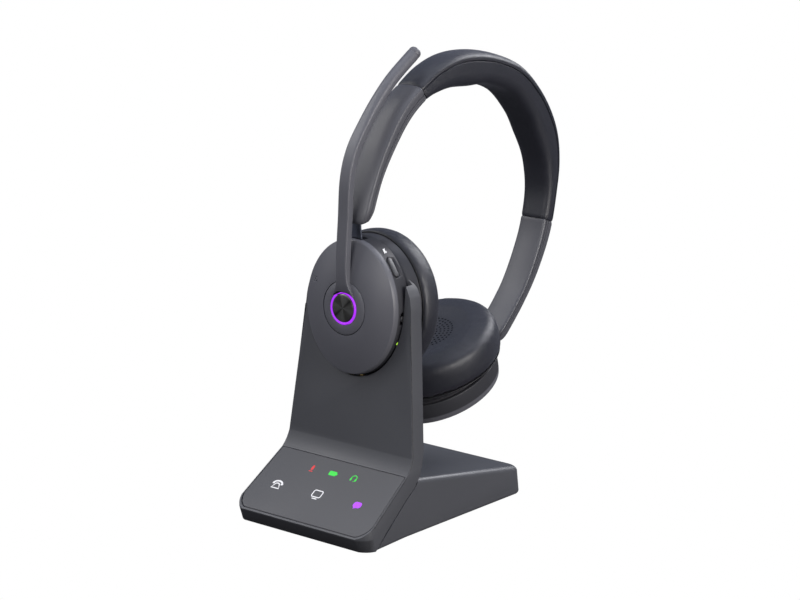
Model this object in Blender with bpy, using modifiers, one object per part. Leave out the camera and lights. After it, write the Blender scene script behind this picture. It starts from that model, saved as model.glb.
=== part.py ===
"""Cordless office headset docked on its charging stand.

Lengths below are in millimetres and are turned into metres when a mesh is made.
The origin is the centre of the stand's underside, +Z is up and the stand faces -Y.
"""
from math import cos, pi, radians, sin

import bmesh
import bpy
from mathutils import Matrix, Vector

MM = 0.001
GAP = 0.3                       # clearance between neighbouring solids

# Stand
BASE_PLAN = [(46.7, -68.9, 7.0), (44.0, -32.8, 0.0), (43.2, 67.5, 5.0)]   # x, y and corner size of one side
BASE_HALF_WIDTH = 43.2
BASE_FRONT, BASE_BACK = -68.9, 67.5
BASE_SPREAD, FRONT_LEAN = 0.7, 4.6
PAD_HEIGHT = 0.8
FLOOR_PLATE_TOP = 2.6
BODY_BOTTOM = PAD_HEIGHT + GAP
PANEL_FRONT = (-68.9, 8.6)      # (y, z) of the control panel's front edge
PANEL_CREASE = (-32.0, 33.9)    # where the panel meets the upright's bend
PANEL_SHEET = 1.0
UPRIGHT_FOOT = (-27.0, 42.3)
UPRIGHT_TOP = (-17.0, 142.3)
UPRIGHT_FOOT_HALF_WIDTH = 43.4
UPRIGHT_SHOULDER = (36.6, 114.4)
PLATE_DEPTH = 8.4               # the upright's thickness, front to back
BASE_BACK_HEIGHT = 16.4
BASE_FALL = 0.1606              # fall of the base's top towards the back

# Ear cups, in a cup's own axes: x across, y up, z outwards from the face's edge
CUP_A, CUP_B = 30.2, 35.8       # semi-axes of the face
CUP_DOME = 4.6
HUB_RADIUS = 14.3
RIM_A, RIM_B, RIM_BACK = 31.0, 37.2, -11.8
NECK_A, NECK_B, NECK_FRONT = 28.3, 34.8, -12.6
FLARE_A, FLARE_B, FLARE_BACK = 35.2, 37.6, -17.2
PAD_A, PAD_B, PAD_FRONT = 37.2, 39.4, -17.7
SLIDER_SLOT = (5.0, -7.6, -2.2)  # half width, and the slot's extent along z
HINGE_Y, HINGE_Z = 30.5, -5.0    # the tilt hinge inside a cup
OVAL_STEPS = 36
SIDE_CONTROLS = [("mute_button", 40.0, -6.0, 11.0, 3.2), ("power_switch", -4.0, -6.2, 6.4, 2.6),
                 ("status_light", -26.0, -6.9, 1.8, 1.8)]   # angle round the rim, depth, length, width

FRONT_CUP_PLACE = Vector((0.0, -26.05, 116.95))
FRONT_CUP_TILT = radians(3.0)
FRONT_PAD_FACE = -33.0
BACK_CUP_PLACE = Vector((0.0, 50.5, 57.1))
BACK_CUP_TILT = radians(68.7)
BACK_PAD_FACE = -37.0

# Headband, in its own axes: across the head from front to back, and up
BAND_TILT = radians(33.0)
BAND_PLACE = Vector((0.0, 37.3, 120.5))
BAND_INNER = [(0, 115.4), (21, 111.2), (35, 104.1), (47.5, 97.0), (56.3, 89.1), (62.9, 80.6), (67.7, 69.4),
              (70.8, 57.8), (72.6, 41.7), (72.8, 28.6), (71.5, 18.9), (69.7, 10), (66.8, -3.5)]
BAND_OUTER = [(0, 127.8), (20, 124.8), (37.7, 118.4), (51.6, 109.7), (62.3, 97.6), (69.4, 84.4), (75.1, 71),
              (77.8, 59), (78.9, 44.1), (78.6, 31.7), (77, 19.6), (74.5, 7), (71.2, -7)]
BAND_LEAN = 1.9                          # its crown stands this much higher behind and lower in front
FRONT_SEAM, BACK_SEAM = 5.15, 6.1        # where the padded middle ends, in outline points
FRONT_END, BACK_END = 11.4, 12.0         # where the arms end
BAND_EDGE_HALF, BAND_TOP_HALF = 8.7, 11.1
BAND_CROWN_EDGE, BAND_CROWN_TOP = 2.2, 4.7
FRONT_SLIDER = [(-62.1, -8.6), (-66.9, -3.4), (-71.2, 2.2), (-73.3, 9.0), (-75.1, 19.4), (-76.5, 31.0)]
BACK_SLIDER = [(59.3, -18.3), (64.8, -11.9), (69.6, -5.4), (72.9, 8.4), (75.1, 19.4), (76.5, 31.0)]
SLIDER_HALF_WIDTH, SLIDER_DEPTH = 3.9, 1.0

# Boom, in the front cup's (y, z): it rises from the hub and follows the headband
BOOM_PATH = [(14.5, 6.1), (25.9, 7.6), (46.8, 7.4), (67.8, 6.2), (83.0, 1.2), (97.5, -8.8),
             (109.6, -19.2), (119.2, -29.4), (129.9, -44.2)]
BOOM_HALF_WIDTH, BOOM_HALF_DEPTH = 3.5, 2.2
BOOM_TIP_RADIUS = 3.6
BOOM_SIDES = 12


def clear_scene():
    for obj in list(bpy.data.objects):
        bpy.data.objects.remove(obj, do_unlink=True)


def make_collection(name):
    collection = bpy.data.collections.new(name)
    bpy.context.scene.collection.children.link(collection)
    return collection


def make_material(name, colour, roughness, metallic=0.0, glow=0.0):
    material = bpy.data.materials.new(name)
    material.use_nodes = True
    shader = material.node_tree.nodes["Principled BSDF"]
    shader.inputs["Base Color"].default_value = (*colour, 1.0)
    shader.inputs["Roughness"].default_value = roughness
    shader.inputs["Metallic"].default_value = metallic
    if glow:
        shader.inputs["Emission Color"].default_value = (*colour, 1.0)
        shader.inputs["Emission Strength"].default_value = glow
    material.diffuse_color = (*colour, 1.0)
    return material


clear_scene()
PARTS = make_collection("office_headset")
CUTTERS = make_collection("cutters")
PLASTIC = make_material("dark_grey_plastic", (0.075, 0.077, 0.085), 0.45)
PANEL = make_material("panel_plastic", (0.12, 0.12, 0.13), 0.4)
CUP_PLASTIC = make_material("cup_plastic", (0.11, 0.11, 0.125), 0.38)
BLACK = make_material("black_plastic", (0.02, 0.02, 0.022), 0.5)
LEATHER = make_material("soft_leather", (0.035, 0.035, 0.05), 0.5)
RUBBER = make_material("rubber", (0.02, 0.02, 0.02), 0.8)
STEEL = make_material("brushed_steel", (0.55, 0.56, 0.6), 0.3, 1.0)
GOLD = make_material("gold_contact", (0.8, 0.6, 0.25), 0.25, 1.0)
BOARD = make_material("circuit_board", (0.02, 0.15, 0.06), 0.5)
LAMP = make_material("violet_lamp", (0.45, 0.05, 0.9), 0.3, 0.0, 2.0)
GREEN_LAMP = make_material("green_lamp", (0.4, 0.9, 0.1), 0.3, 0.0, 2.0)


def frame_of(place, x_axis, y_axis, z_axis):
    """A placement in millimetres from an origin and three unit axes."""
    columns = Matrix((x_axis, y_axis, z_axis)).transposed().to_4x4()
    return Matrix.Translation(place) @ columns


def cup_frame(place, tilt, facing):
    """A cup whose outward axis is -Y (facing 1) or +Y (facing -1) before it leans back by tilt."""
    up = Vector((0.0, sin(tilt), cos(tilt)))
    outward = Vector((0.0, -cos(tilt), sin(tilt))) * facing
    return frame_of(place, Vector((float(facing), 0.0, 0.0)), up, outward)


WORLD = Matrix.Identity(4)
FRONT_CUP = cup_frame(FRONT_CUP_PLACE, FRONT_CUP_TILT, 1)
BACK_CUP = cup_frame(BACK_CUP_PLACE, BACK_CUP_TILT, -1)
BAND = frame_of(BAND_PLACE, Vector((1, 0, 0)), Vector((0, cos(BAND_TILT), -sin(BAND_TILT))),
                Vector((0, sin(BAND_TILT), cos(BAND_TILT))))


def pivot(name, frame, point):
    """An empty on a body's joint axis; the body's pieces are parented to it."""
    empty = bpy.data.objects.new(name, None)
    empty.location = (frame @ Vector(point)) * MM
    PARTS.objects.link(empty)
    bpy.context.view_layer.update()
    return empty


def finish(name, mesh_data, frame, material, parent=None, cutter=False):
    """Turn a bmesh in a frame's millimetres into a named object in metres."""
    bmesh.ops.recalc_face_normals(mesh_data, faces=mesh_data.faces)
    scale = Matrix.Scale(MM, 4)
    mesh_data.transform(scale @ frame)
    mesh = bpy.data.meshes.new(name)
    mesh_data.to_mesh(mesh)
    mesh_data.free()
    mesh.shade_smooth()
    mesh.set_sharp_from_angle(angle=radians(35))
    obj = bpy.data.objects.new(name, mesh)
    if cutter:
        obj.hide_render = True
        obj.display_type = "WIRE"
        CUTTERS.objects.link(obj)
        return obj
    mesh.materials.append(material)
    PARTS.objects.link(obj)
    if parent:
        obj.parent = parent
        obj.matrix_parent_inverse = parent.matrix_world.inverted()
    return obj


def loft(name, rings, frame, material=None, parent=None, ring_closed=False, cutter=False):
    """Skin a row of equal rings, capped at both ends, or joined end to end when ring_closed."""
    data = bmesh.new()
    rows = [[data.verts.new(point) for point in ring] for ring in rings]
    count = len(rows[0])
    pairs = list(zip(rows, rows[1:]))
    if ring_closed:
        pairs.append((rows[-1], rows[0]))
    else:
        data.faces.new(rows[0])
        data.faces.new(rows[-1][::-1])
    for low, high in pairs:
        for i in range(count):
            j = (i + 1) % count
            data.faces.new((low[i], high[i], high[j], low[j]))
    return finish(name, data, frame, material, parent, cutter)


def oval(a, b, z, steps=OVAL_STEPS, centre_y=0.0):
    turns = [2 * pi * i / steps for i in range(steps)]
    return [Vector((a * cos(t), centre_y + b * sin(t), z)) for t in turns]


def oval_stack(name, rows, frame, material=None, parent=None, ring_closed=False, steps=OVAL_STEPS,
               cutter=False):
    """Loft of ovals given as (a, b, z)."""
    rings = [oval(a, b, z, steps) for a, b, z in rows]
    return loft(name, rings, frame, material, parent, ring_closed, cutter)


def turned(name, profile, frame, material, parent=None, steps=32, ring_closed=False):
    """Screw a profile of (radius, z) about the frame's z axis, outer side top to bottom."""
    data = bmesh.new()
    verts = [data.verts.new((r * MM, 0.0, z * MM)) for r, z in profile]
    for first, second in zip(verts, verts[1:]):
        data.edges.new((first, second))
    if ring_closed:
        data.edges.new((verts[-1], verts[0]))
    mesh = bpy.data.meshes.new(name)
    data.to_mesh(mesh)
    data.free()
    mesh.materials.append(material)
    obj = bpy.data.objects.new(name, mesh)
    PARTS.objects.link(obj)
    screw = obj.modifiers.new("turn", "SCREW")
    screw.axis = "Z"
    screw.steps = screw.render_steps = steps
    screw.use_merge_vertices = True
    screw.merge_threshold = 0.00001
    placed = frame.copy()
    placed.translation = frame.translation * MM
    obj.matrix_world = placed
    if parent:
        obj.parent = parent
        obj.matrix_parent_inverse = parent.matrix_world.inverted()
    return obj


def prism(name, outline, axis, low, high, frame=WORLD, material=None, parent=None, cutter=False):
    """Extrude an outline along an axis. Its two numbers are the other two axes, in X, Y, Z order."""
    order = {"X": (2, 0, 1), "Y": (0, 2, 1), "Z": (0, 1, 2)}[axis]

    def place(u, v, w):
        values = (u, v, w)
        return Vector([values[i] for i in order])

    data = bmesh.new()
    face = data.faces.new([data.verts.new(place(u, v, low)) for u, v in outline])
    made = bmesh.ops.extrude_face_region(data, geom=[face])["geom"]
    moved = [item for item in made if isinstance(item, bmesh.types.BMVert)]
    bmesh.ops.translate(data, verts=moved, vec=place(0, 0, high - low))
    return finish(name, data, frame, material, parent, cutter)


def box(name, low, high, frame, material, parent=None, bevel=0.0, cutter=False):
    """A block between two corners, with rounded edges when bevel is given."""
    size = Vector(high) - Vector(low)
    centre = (Vector(high) + Vector(low)) / 2
    data = bmesh.new()
    bmesh.ops.create_cube(data, size=1.0, matrix=Matrix.Translation(centre) @ Matrix.Diagonal((*size, 1.0)))
    obj = finish(name, data, frame, material, parent, cutter)
    if bevel:
        edge = obj.modifiers.new("rounded_edges", "BEVEL")
        edge.width = bevel * MM
        edge.segments = 2
        edge.use_clamp_overlap = True
    return obj


def rod(name, radius, length, centre, axis, frame, material=None, parent=None, steps=20, cutter=False):
    """A cylinder along one of a frame's axes."""
    turn = {"X": Matrix.Rotation(pi / 2, 4, "Y"), "Y": Matrix.Rotation(pi / 2, 4, "X"),
            "Z": Matrix.Identity(4)}[axis]
    data = bmesh.new()
    bmesh.ops.create_cone(data, cap_ends=True, segments=steps, radius1=radius, radius2=radius,
                          depth=length, matrix=Matrix.Translation(Vector(centre)) @ turn)
    return finish(name, data, frame, material, parent, cutter)


def boolean(obj, other, operation="DIFFERENCE"):
    cut = obj.modifiers.new(other.name, "BOOLEAN")
    cut.object = other
    cut.operation = operation
    cut.solver = "EXACT"


def catmull(p0, p1, p2, p3, t):
    """A point between p1 and p2 on the smooth curve through four points."""
    p0, p1, p2, p3 = Vector(p0), Vector(p1), Vector(p2), Vector(p3)
    return 0.5 * (2 * p1 + (p2 - p0) * t + (2 * p0 - 5 * p1 + 4 * p2 - p3) * t * t
                  + (3 * p1 - p0 - 3 * p2 + p3) * t ** 3)


def smooth_path(points, steps):
    """A smooth curve through 2D points, with steps pieces to each span."""
    padded = [points[0]] + list(points) + [points[-1]]
    made = [catmull(*padded[span:span + 4], i / steps)
            for span in range(len(points) - 1) for i in range(steps)]
    return made + [Vector(points[-1])]


def half_outline(points, place):
    """A point on a half outline that is mirrored about its first point, at any place along it."""
    mirrored = [(-points[1][0], points[1][1])] + list(points) + [points[-1]]
    span = min(int(place), len(points) - 2)
    return catmull(*mirrored[span:span + 4], place - span)


def rounded_outline(corners, steps=6):
    """A closed outline through (x, y, size) corners, each rounded over its size."""
    outline = []
    for i, (x, y, size) in enumerate(corners):
        corner = Vector((x, y))
        before, after = Vector(corners[i - 1][:2]), Vector(corners[(i + 1) % len(corners)][:2])
        if not size:
            outline.append((x, y))
            continue
        start = corner + (before - corner).normalized() * size
        end = corner + (after - corner).normalized() * size
        for j in range(steps + 1):
            t = j / steps
            bend = 1.15 * t * (1 - t)
            outline.append(tuple(start * ((1 - t) ** 2 + bend * 0.43)
                                 + corner * (2 * t * (1 - t) - bend * 0.86)
                                 + end * (t * t + bend * 0.43)))
    return outline


def base_plan(shrink, set_back=0.0):
    """The stand's plan, anticlockwise from the front right corner, narrower by shrink on each side."""
    side = [(x - shrink, y + (1.6 * shrink + set_back if y < -50 else -shrink if y > 50 else 0.0), size)
            for x, y, size in BASE_PLAN]
    return rounded_outline(side + [(-x, y, size) for x, y, size in reversed(side)])


def footprint(name, inset, low, high):
    """The stand's plan as a cutter. Low down its front leans back and its sides spread."""
    rings = []
    for z in (low, PANEL_FRONT[1], high):
        drop = max(0.0, 1 - z / PANEL_FRONT[1])
        rings.append([Vector((x, y, z)) for x, y in base_plan(inset - BASE_SPREAD * drop, FRONT_LEAN * drop)])
    return loft(name, rings, WORLD, cutter=True)


def panel_line(depth):
    """(y, z) of the panel's front and crease ends, moved square to the panel by depth."""
    front, crease = Vector(PANEL_FRONT), Vector(PANEL_CREASE)
    along = (crease - front).normalized()
    inward = Vector((along.y, -along.x)) * depth
    return front + inward, crease + inward


def build_stand():
    """Front plate with its cradle, base housing and everything that sits in them."""
    front, crease = panel_line(0.0)
    sunk_front, sunk_crease = panel_line(PANEL_SHEET + GAP)
    along = (crease - front).normalized()
    under_low, under_high = Vector((-59.6, BODY_BOTTOM)), Vector((-25.0, 26.9))
    lead = front - along * 3.0
    plate_outline = [(BASE_FRONT - 1, BODY_BOTTOM), (BASE_FRONT - 1, lead.y), lead, crease,
                     (-30.6, 35.6), (-28.5, 38.6), UPRIGHT_FOOT, UPRIGHT_TOP,
                     (UPRIGHT_TOP[0] + PLATE_DEPTH - 0.4, UPRIGHT_TOP[1]), (-17.6, 40.0), (-18.6, 36.0),
                     (-20.9, 31.4), under_high, under_low]
    plate = prism("front_plate", plate_outline, "X", -48.0, 48.0, material=PLASTIC)
    half, shoulder = UPRIGHT_SHOULDER
    side = [(48.0, 0.0), (48.0, 26.0), (44.4, 31.5), (43.8, 36.0), (UPRIGHT_FOOT_HALF_WIDTH, 42.3),
            (half, shoulder), (35.8, 121.0), (34.2, 126.6), (31.4, 130.6), (27.6, 133.7), (24.6, 134.6)]
    outline = side + [(-x, z) for x, z in reversed(side)]
    boolean(plate, prism("plate_front_outline", outline, "Y", -80.0, 20.0, cutter=True), "INTERSECT")
    plan = footprint("plate_plan", 0.0, 1.0, 150.0)
    boolean(plate, plan, "INTERSECT")
    boolean(plate, cradle_cutter())
    boolean(plate, box("contact_slot", (-9.0, -22.2, 72.0), (9.0, -16.8, 90.0), WORLD, None, cutter=True))

    above = Vector((-along.y, along.x)) * 2.0
    recess_outline = [front - along * 3 + above, crease + above, sunk_crease, sunk_front - along * 3]
    recess = prism("panel_recess", recess_outline, "X", -48.0, 48.0, cutter=True)
    boolean(recess, footprint("recess_plan", 0.6, 1.0, 60.0), "INTERSECT")
    boolean(plate, recess)
    sheet_front, sheet_crease = panel_line(PANEL_SHEET)
    sheet_outline = [front - along * 3, crease - along * 0.3, sheet_crease - along * 0.3,
                     sheet_front - along * 3]
    sheet = prism("touch_panel", sheet_outline, "X", -48.0, 48.0, material=PANEL)
    boolean(sheet, footprint("panel_plan", 0.9, 1.0, 60.0), "INTERSECT")

    top_front = BASE_BACK_HEIGHT + BASE_FALL * (66.3 + 21.3)
    wedge = [(-59.1, BODY_BOTTOM), (-24.4, 27.0), (-21.3, top_front), (66.3, BASE_BACK_HEIGHT),
             (68.9, BODY_BOTTOM)]
    housing = prism("base_housing", wedge, "X", -48.0, 48.0, material=PLASTIC)
    boolean(housing, plan, "INTERSECT")
    cavity = [(-51.0, 0.0), (-51.0, 3.0), (-24.0, 22.4), (-20.0, top_front - 3.2),
              (63.5, BASE_BACK_HEIGHT - 3.0), (63.5, 0.0)]
    cavity_half = BASE_HALF_WIDTH - 3.4
    boolean(housing, prism("base_cavity", cavity, "X", -cavity_half, cavity_half, cutter=True))
    for side_sign, name in ((-1, "usb_port_left"), (1, "usb_port_right")):
        x = side_sign * 16.0
        boolean(housing, box(name + "_hole", (x - 5.0, 60.0, 6.5), (x + 5.0, 72.0, 10.9), WORLD, None,
                             cutter=True))
        port = box(name, (x - 4.5, 58.5, 6.9), (x + 4.5, 66.2, 10.5), WORLD, STEEL, bevel=0.8)
        boolean(port, box(name + "_mouth", (x - 3.9, 60.0, 7.5), (x + 3.9, 68.0, 9.9), WORLD, None,
                          cutter=True))

    floor_half = cavity_half - GAP
    floor_outline = [(-floor_half, -50.6), (floor_half, -50.6), (floor_half, 63.2), (-floor_half, 63.2)]
    prism("floor_plate", floor_outline, "Z", PAD_HEIGHT + GAP, FLOOR_PLATE_TOP, material=BLACK)
    pad_outline = rounded_outline([(37, -57, 6), (37, 60, 6), (-37, 60, 6), (-37, -57, 6)], 4)
    prism("rubber_pad", pad_outline, "Z", 0.0, PAD_HEIGHT, material=RUBBER)
    box("ballast_weight", (-34, 2, 3.6), (34, 46, 8.2), WORLD, STEEL, bevel=1.0)
    box("stand_board", (-36, -18, 9.5), (36, 55.5, 11.1), WORLD, BOARD)
    block = box("contact_block", (-8.7, -21.9, 72.3), (8.7, -17.1, 77.0), WORLD, BLACK)
    for name, x in (("charge_pin_left", -4.0), ("charge_pin_right", 4.0)):
        boolean(block, rod(name + "_hole", 1.3, 10.0, (x, -20.1, 78.0), "Z", WORLD, cutter=True))
        rod(name, 1.0, 5.0, (x, -20.1, 76.0), "Z", WORLD, GOLD)


def cradle_cutter():
    """The docked cup's outline with clearance, open upwards so the cup lifts out along its own y axis."""
    clear = 0.6
    rows = [(RIM_A + clear, RIM_B + clear, 8.0), (RIM_A + clear, RIM_B + clear, RIM_BACK - clear),
            (NECK_A + clear, NECK_B + clear, RIM_BACK - clear - 0.02),
            (NECK_A + clear, NECK_B + clear, NECK_FRONT - 0.2),
            (FLARE_A + clear + 0.6, FLARE_B + clear + 0.6, FLARE_BACK),
            (FLARE_A + clear + 1.4, FLARE_B + clear + 1.4, -22.0)]
    rings = []
    for a, b, z in rows:
        lower = [Vector((a * cos(t), b * sin(t), z)) for t in [pi + pi * i / 24 for i in range(25)]]
        rings.append(lower + [Vector((a, 60.0, z)), Vector((-a, 60.0, z))])
    return loft("cradle_cut", rings, FRONT_CUP, cutter=True)


def cup_shell(side, frame, parent, hub_radius):
    """Domed outer shell with a rim, a round well for the hub and a slot for the slider."""
    bore = hub_radius + GAP
    dome = [(bore + (CUP_A - bore) * t, bore + (CUP_B - bore) * t, CUP_DOME * (1 - t ** 2.2)) for t in
            (0.0, 0.3, 0.58, 0.82)]
    outer = dome + [(CUP_A - 0.25, CUP_B - 0.25, 0.35), (CUP_A + 0.15, CUP_B + 0.2, -0.4),
                    (RIM_A, RIM_B - 0.4, -5.0), (RIM_A, RIM_B, RIM_BACK)]
    inner = [(a - 1.8, b - 1.8, z) for a, b, z in ((RIM_A, RIM_B, RIM_BACK), (RIM_A, RIM_B - 0.4, -2.4))]
    inner += [(CUP_A - 4.5, CUP_B - 4.5, -0.9), (bore + 4.0, bore + 5.0, 2.2), (bore, bore, 2.4)]
    shell = oval_stack(side + "_cup_shell", outer + inner, frame, CUP_PLASTIC, parent, ring_closed=True)
    half, low, high = SLIDER_SLOT
    boolean(shell, box(side + "_slider_slot", (-half, 30.0, low), (half, 45.0, high), frame, None,
                       cutter=True))
    return shell


def cup_inside(side, frame, parent, pad_face):
    """Neck housing, baffle, driver, cell, board, hinge block and cushion of one ear cup."""
    neck = [(NECK_A - 0.4, NECK_B - 0.8, -6.8), (NECK_A - 0.4, NECK_B - 0.8, RIM_BACK - 0.3),
            (NECK_A, NECK_B, RIM_BACK - 0.5), (NECK_A, NECK_B, NECK_FRONT), (FLARE_A, FLARE_B, FLARE_BACK),
            (FLARE_A - 1.6, FLARE_B - 1.6, FLARE_BACK), (NECK_A - 2.0, NECK_B - 2.0, NECK_FRONT),
            (NECK_A - 2.0, NECK_B - 2.0, -6.8)]
    housing = oval_stack(side + "_neck_housing", neck, frame, PLASTIC, parent, ring_closed=True)
    boolean(housing, box(side + "_neck_notch", (-8.2, 20.0, -8.2), (8.2, 45.0, 0.0), frame, None,
                         cutter=True))
    oval_stack(side + "_baffle",
               [(30.0, 33.6, -15.2), (30.6, 34.2, -16.8), (17.0, 17.0, -16.8), (17.0, 17.0, -15.2)],
               frame, BLACK, parent, ring_closed=True)
    turned(side + "_driver", [(0, -15.8), (13, -15.8), (16, -17.2), (16, -19.0), (11, -20.6), (0, -21.2)],
           frame, BLACK, parent, steps=28)
    turned(side + "_driver_magnet", [(0, -12.6), (8.6, -12.6), (9, -13.0), (9, -15.5), (0, -15.5)],
           frame, STEEL, parent, steps=24)
    bolster = [(17.2, 17.2, -22.6), (17.2, 17.2, PAD_FRONT), (PAD_A - 1.2, PAD_B - 1.2, PAD_FRONT),
               (PAD_A, PAD_B, PAD_FRONT - 2.2), (PAD_A, PAD_B, pad_face + 6.0),
               (PAD_A - 1.2, PAD_B - 1.2, pad_face + 2.6), (PAD_A - 4.2, PAD_B - 4.2, pad_face + 0.6),
               (PAD_A - 9.0, PAD_B - 9.0, pad_face), (14.0, 15.0, pad_face + 1.2)]
    oval_stack(side + "_cushion", bolster, frame, LEATHER, parent)
    block = box(side + "_hinge_block", (-7.8, 25.4, -7.4), (7.8, 33.0, -2.6), frame, BLACK, parent)
    boolean(block, box(side + "_hinge_gap", (-4.6, 27.4, -10.0), (4.6, 40.0, 0.0), frame, None, cutter=True))
    boolean(block, rod(side + "_hinge_hole", 1.3, 20.0, (0, HINGE_Y, HINGE_Z), "X", frame, cutter=True))


def slider(side, frame, path, parent):
    """Steel strip that carries a cup: a knuckle on the tilt pin, then a bend into the headband's arm."""
    points = smooth_path(path, 4)[1:]
    rings = []
    for i, point in enumerate(points):
        before, after = points[max(i - 1, 0)], points[min(i + 1, len(points) - 1)]
        along = (after - before).normalized()
        normal = Vector((along.y, -along.x)) * SLIDER_DEPTH / 2
        near, far = point + normal, point - normal
        w = SLIDER_HALF_WIDTH
        rings.append([Vector((-w, *near)), Vector((w, *near)), Vector((w, *far)), Vector((-w, *far))])
    strip = loft(side + "_slider", rings, BAND, STEEL, parent)
    y, z = (BAND.inverted() @ frame @ Vector((0, HINGE_Y, HINGE_Z))).yz
    knuckle = rod(side + "_knuckle", 2.5, 2 * SLIDER_HALF_WIDTH + 0.5, (0, y, z), "X", BAND, cutter=True)
    boolean(strip, knuckle, "UNION")
    boolean(strip, rod(side + "_knuckle_bore", 1.3, 12.0, (0, y, z), "X", BAND, cutter=True))
    return strip


def band_sample(place):
    """Inner and outer (across, up) of the headband at an outline position, mirrored for a negative one."""
    sign = -1.0 if place < 0 else 1.0
    inner = half_outline(BAND_INNER, abs(place))
    outer = half_outline(BAND_OUTER, abs(place))
    lean = BAND_LEAN * sin(pi * max(-1.0, min(1.0, place / 6)))
    return Vector((sign * inner.x, inner.y + lean)), Vector((sign * outer.x, outer.y + lean))


def band_width(place):
    """Half width and crown height of the headband: widest at the top of the head."""
    share = max(0.0, 1 - abs(place) / 6.5)
    blend = share * share * (3 - 2 * share)
    half = BAND_EDGE_HALF + (BAND_TOP_HALF - BAND_EDGE_HALF) * blend
    crown = BAND_CROWN_EDGE + (BAND_CROWN_TOP - BAND_CROWN_EDGE) * blend
    return half, crown


def band_piece(name, start, end, section, material, parent):
    """Loft a section along the headband. section(half, crown) gives (x, depth, lift) with depth 0 at
    the inner face and 1 at the outer one, and lift in millimetres beyond that."""
    count = max(2, round(abs(end - start) * 3))
    rings = []
    for i in range(count + 1):
        place = start + (end - start) * i / count
        inner, outer = band_sample(place)
        out = (outer - inner).normalized()
        half, crown = band_width(place)
        ring = []
        for x, depth, lift in section(half, crown):
            spot = inner + (outer - inner) * depth + out * lift
            ring.append(Vector((x, spot.x, spot.y)))
        rings.append(ring)
    return loft(name, rings, BAND, material, parent)


def arm_shell_section(half, crown):
    """Channel: crowned outside, hollow inside for the slider."""
    arc = [(half * sin(t), 1.0, crown * cos(t)) for t in [radians(-82 + 164 * i / 8) for i in range(9)]]
    inside = [(half - 1.7, 0.34, 0), (half - 1.7, 0.96, 0), (1.7 - half, 0.96, 0), (1.7 - half, 0.34, 0)]
    return [(-half, 0.34, 0), (-half, 0.92, 0)] + arc + [(half, 0.92, 0), (half, 0.34, 0)] + inside


def arm_liner_section(half, _):
    return [(-half, 0.29, 0), (-half, 0.08, 0), (-half + 0.8, 0.0, 0), (half - 0.8, 0.0, 0), (half, 0.08, 0),
            (half, 0.29, 0)]


def skin_section(half, crown):
    arc = [(half * sin(t), 1.0, crown * cos(t)) for t in [radians(-86 + 172 * i / 8) for i in range(9)]]
    return [(-half, 0.90, 0)] + arc + [(half, 0.90, 0)]


def pad_section(half, crown):
    arc = [(-half * sin(t), 0.18, -crown * 0.35 * cos(t)) for t in [radians(-90 + 180 * i / 8) for i in range(9)]]
    return [(half, 0.87, 0)] + arc + [(-half, 0.87, 0), (-7.0, 0.87, 0), (-7.0, 0.70, 0), (7.0, 0.70, 0),
                                      (7.0, 0.87, 0)]


def spring_section(*_):
    return [(-6.4, 0.78, -0.35), (6.4, 0.78, -0.35), (6.4, 0.78, 0.35), (-6.4, 0.78, 0.35)]


def build_headband(parent):
    break_gap = 0.025
    for side, start, end in (("front", -FRONT_SEAM - break_gap, -FRONT_END),
                             ("back", BACK_SEAM + break_gap, BACK_END)):
        band_piece("arm_shell_" + side, start, end, arm_shell_section, PLASTIC, parent)
        band_piece("arm_liner_" + side, start, end, arm_liner_section, PLASTIC, parent)
    start, end = -FRONT_SEAM + break_gap, BACK_SEAM - break_gap
    band_piece("headband_skin", start, end, skin_section, LEATHER, parent)
    band_piece("headband_pad", start, end, pad_section, LEATHER, parent)
    band_piece("headband_spring", start + 0.2, end - 0.2, spring_section, STEEL, parent)


def build_boom(parent):
    """Hub ring on the cup, the light ring on it, and the arm with its round microphone end."""
    hub = [(HUB_RADIUS, CUP_DOME + 0.2), (HUB_RADIUS, 2.9), (12.5, 2.1), (11.0, 2.1), (11.0, -0.9), (9.6, -0.9),
           (9.6, CUP_DOME + 0.9)]
    turned("boom_hub", hub, FRONT_CUP, CUP_PLASTIC, parent, steps=32, ring_closed=True)
    turned("light_ring", [(9.2, CUP_DOME + 1.1), (9.2, 3.4), (7.9, 3.4), (7.9, CUP_DOME + 1.1)], FRONT_CUP, LAMP,
           parent, steps=32, ring_closed=True)
    points = smooth_path(BOOM_PATH, 3)
    rings = []
    for i, point in enumerate(points):
        before, after = points[max(i - 1, 0)], points[min(i + 1, len(points) - 1)]
        along = (after - before).normalized()
        out = Vector((-along.y, along.x))
        share = max(0.0, min(1.0, (i / (len(points) - 1) - 0.35) / 0.5))
        root = max(0.0, 1 - i / 3)
        half_x = BOOM_HALF_WIDTH + (BOOM_TIP_RADIUS - BOOM_HALF_WIDTH) * share + 1.2 * root
        half_d = BOOM_HALF_DEPTH + (BOOM_TIP_RADIUS - BOOM_HALF_DEPTH) * share - 0.9 * root
        ring = []
        for j in range(BOOM_SIDES):
            turn = 2 * pi * (j + 0.5) / BOOM_SIDES
            squared = 1.0 + 0.16 * (1 - share) * abs(sin(2 * turn))
            spot = point + out * half_d * sin(turn) * squared
            ring.append(Vector((half_x * cos(turn) * squared, spot.x, spot.y)))
        rings.append(ring)
    arm = loft("boom_arm", rings, FRONT_CUP, CUP_PLASTIC, parent)
    direction = (points[-1] - points[-2]).normalized()
    tip = points[-1]
    cap_frame = FRONT_CUP @ frame_of(Vector((0, tip.x, tip.y)), Vector((1, 0, 0)),
                                     Vector((0, direction.y, -direction.x)) * -1,
                                     Vector((0, direction.x, direction.y)))
    turned("microphone_cap", [(0, 3.4), (2.4, 3.4), (3.2, 2.9), (BOOM_TIP_RADIUS, 2.0), (BOOM_TIP_RADIUS, GAP),
                              (0, GAP)], cap_frame, BLACK, parent, steps=20)
    return arm


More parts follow.
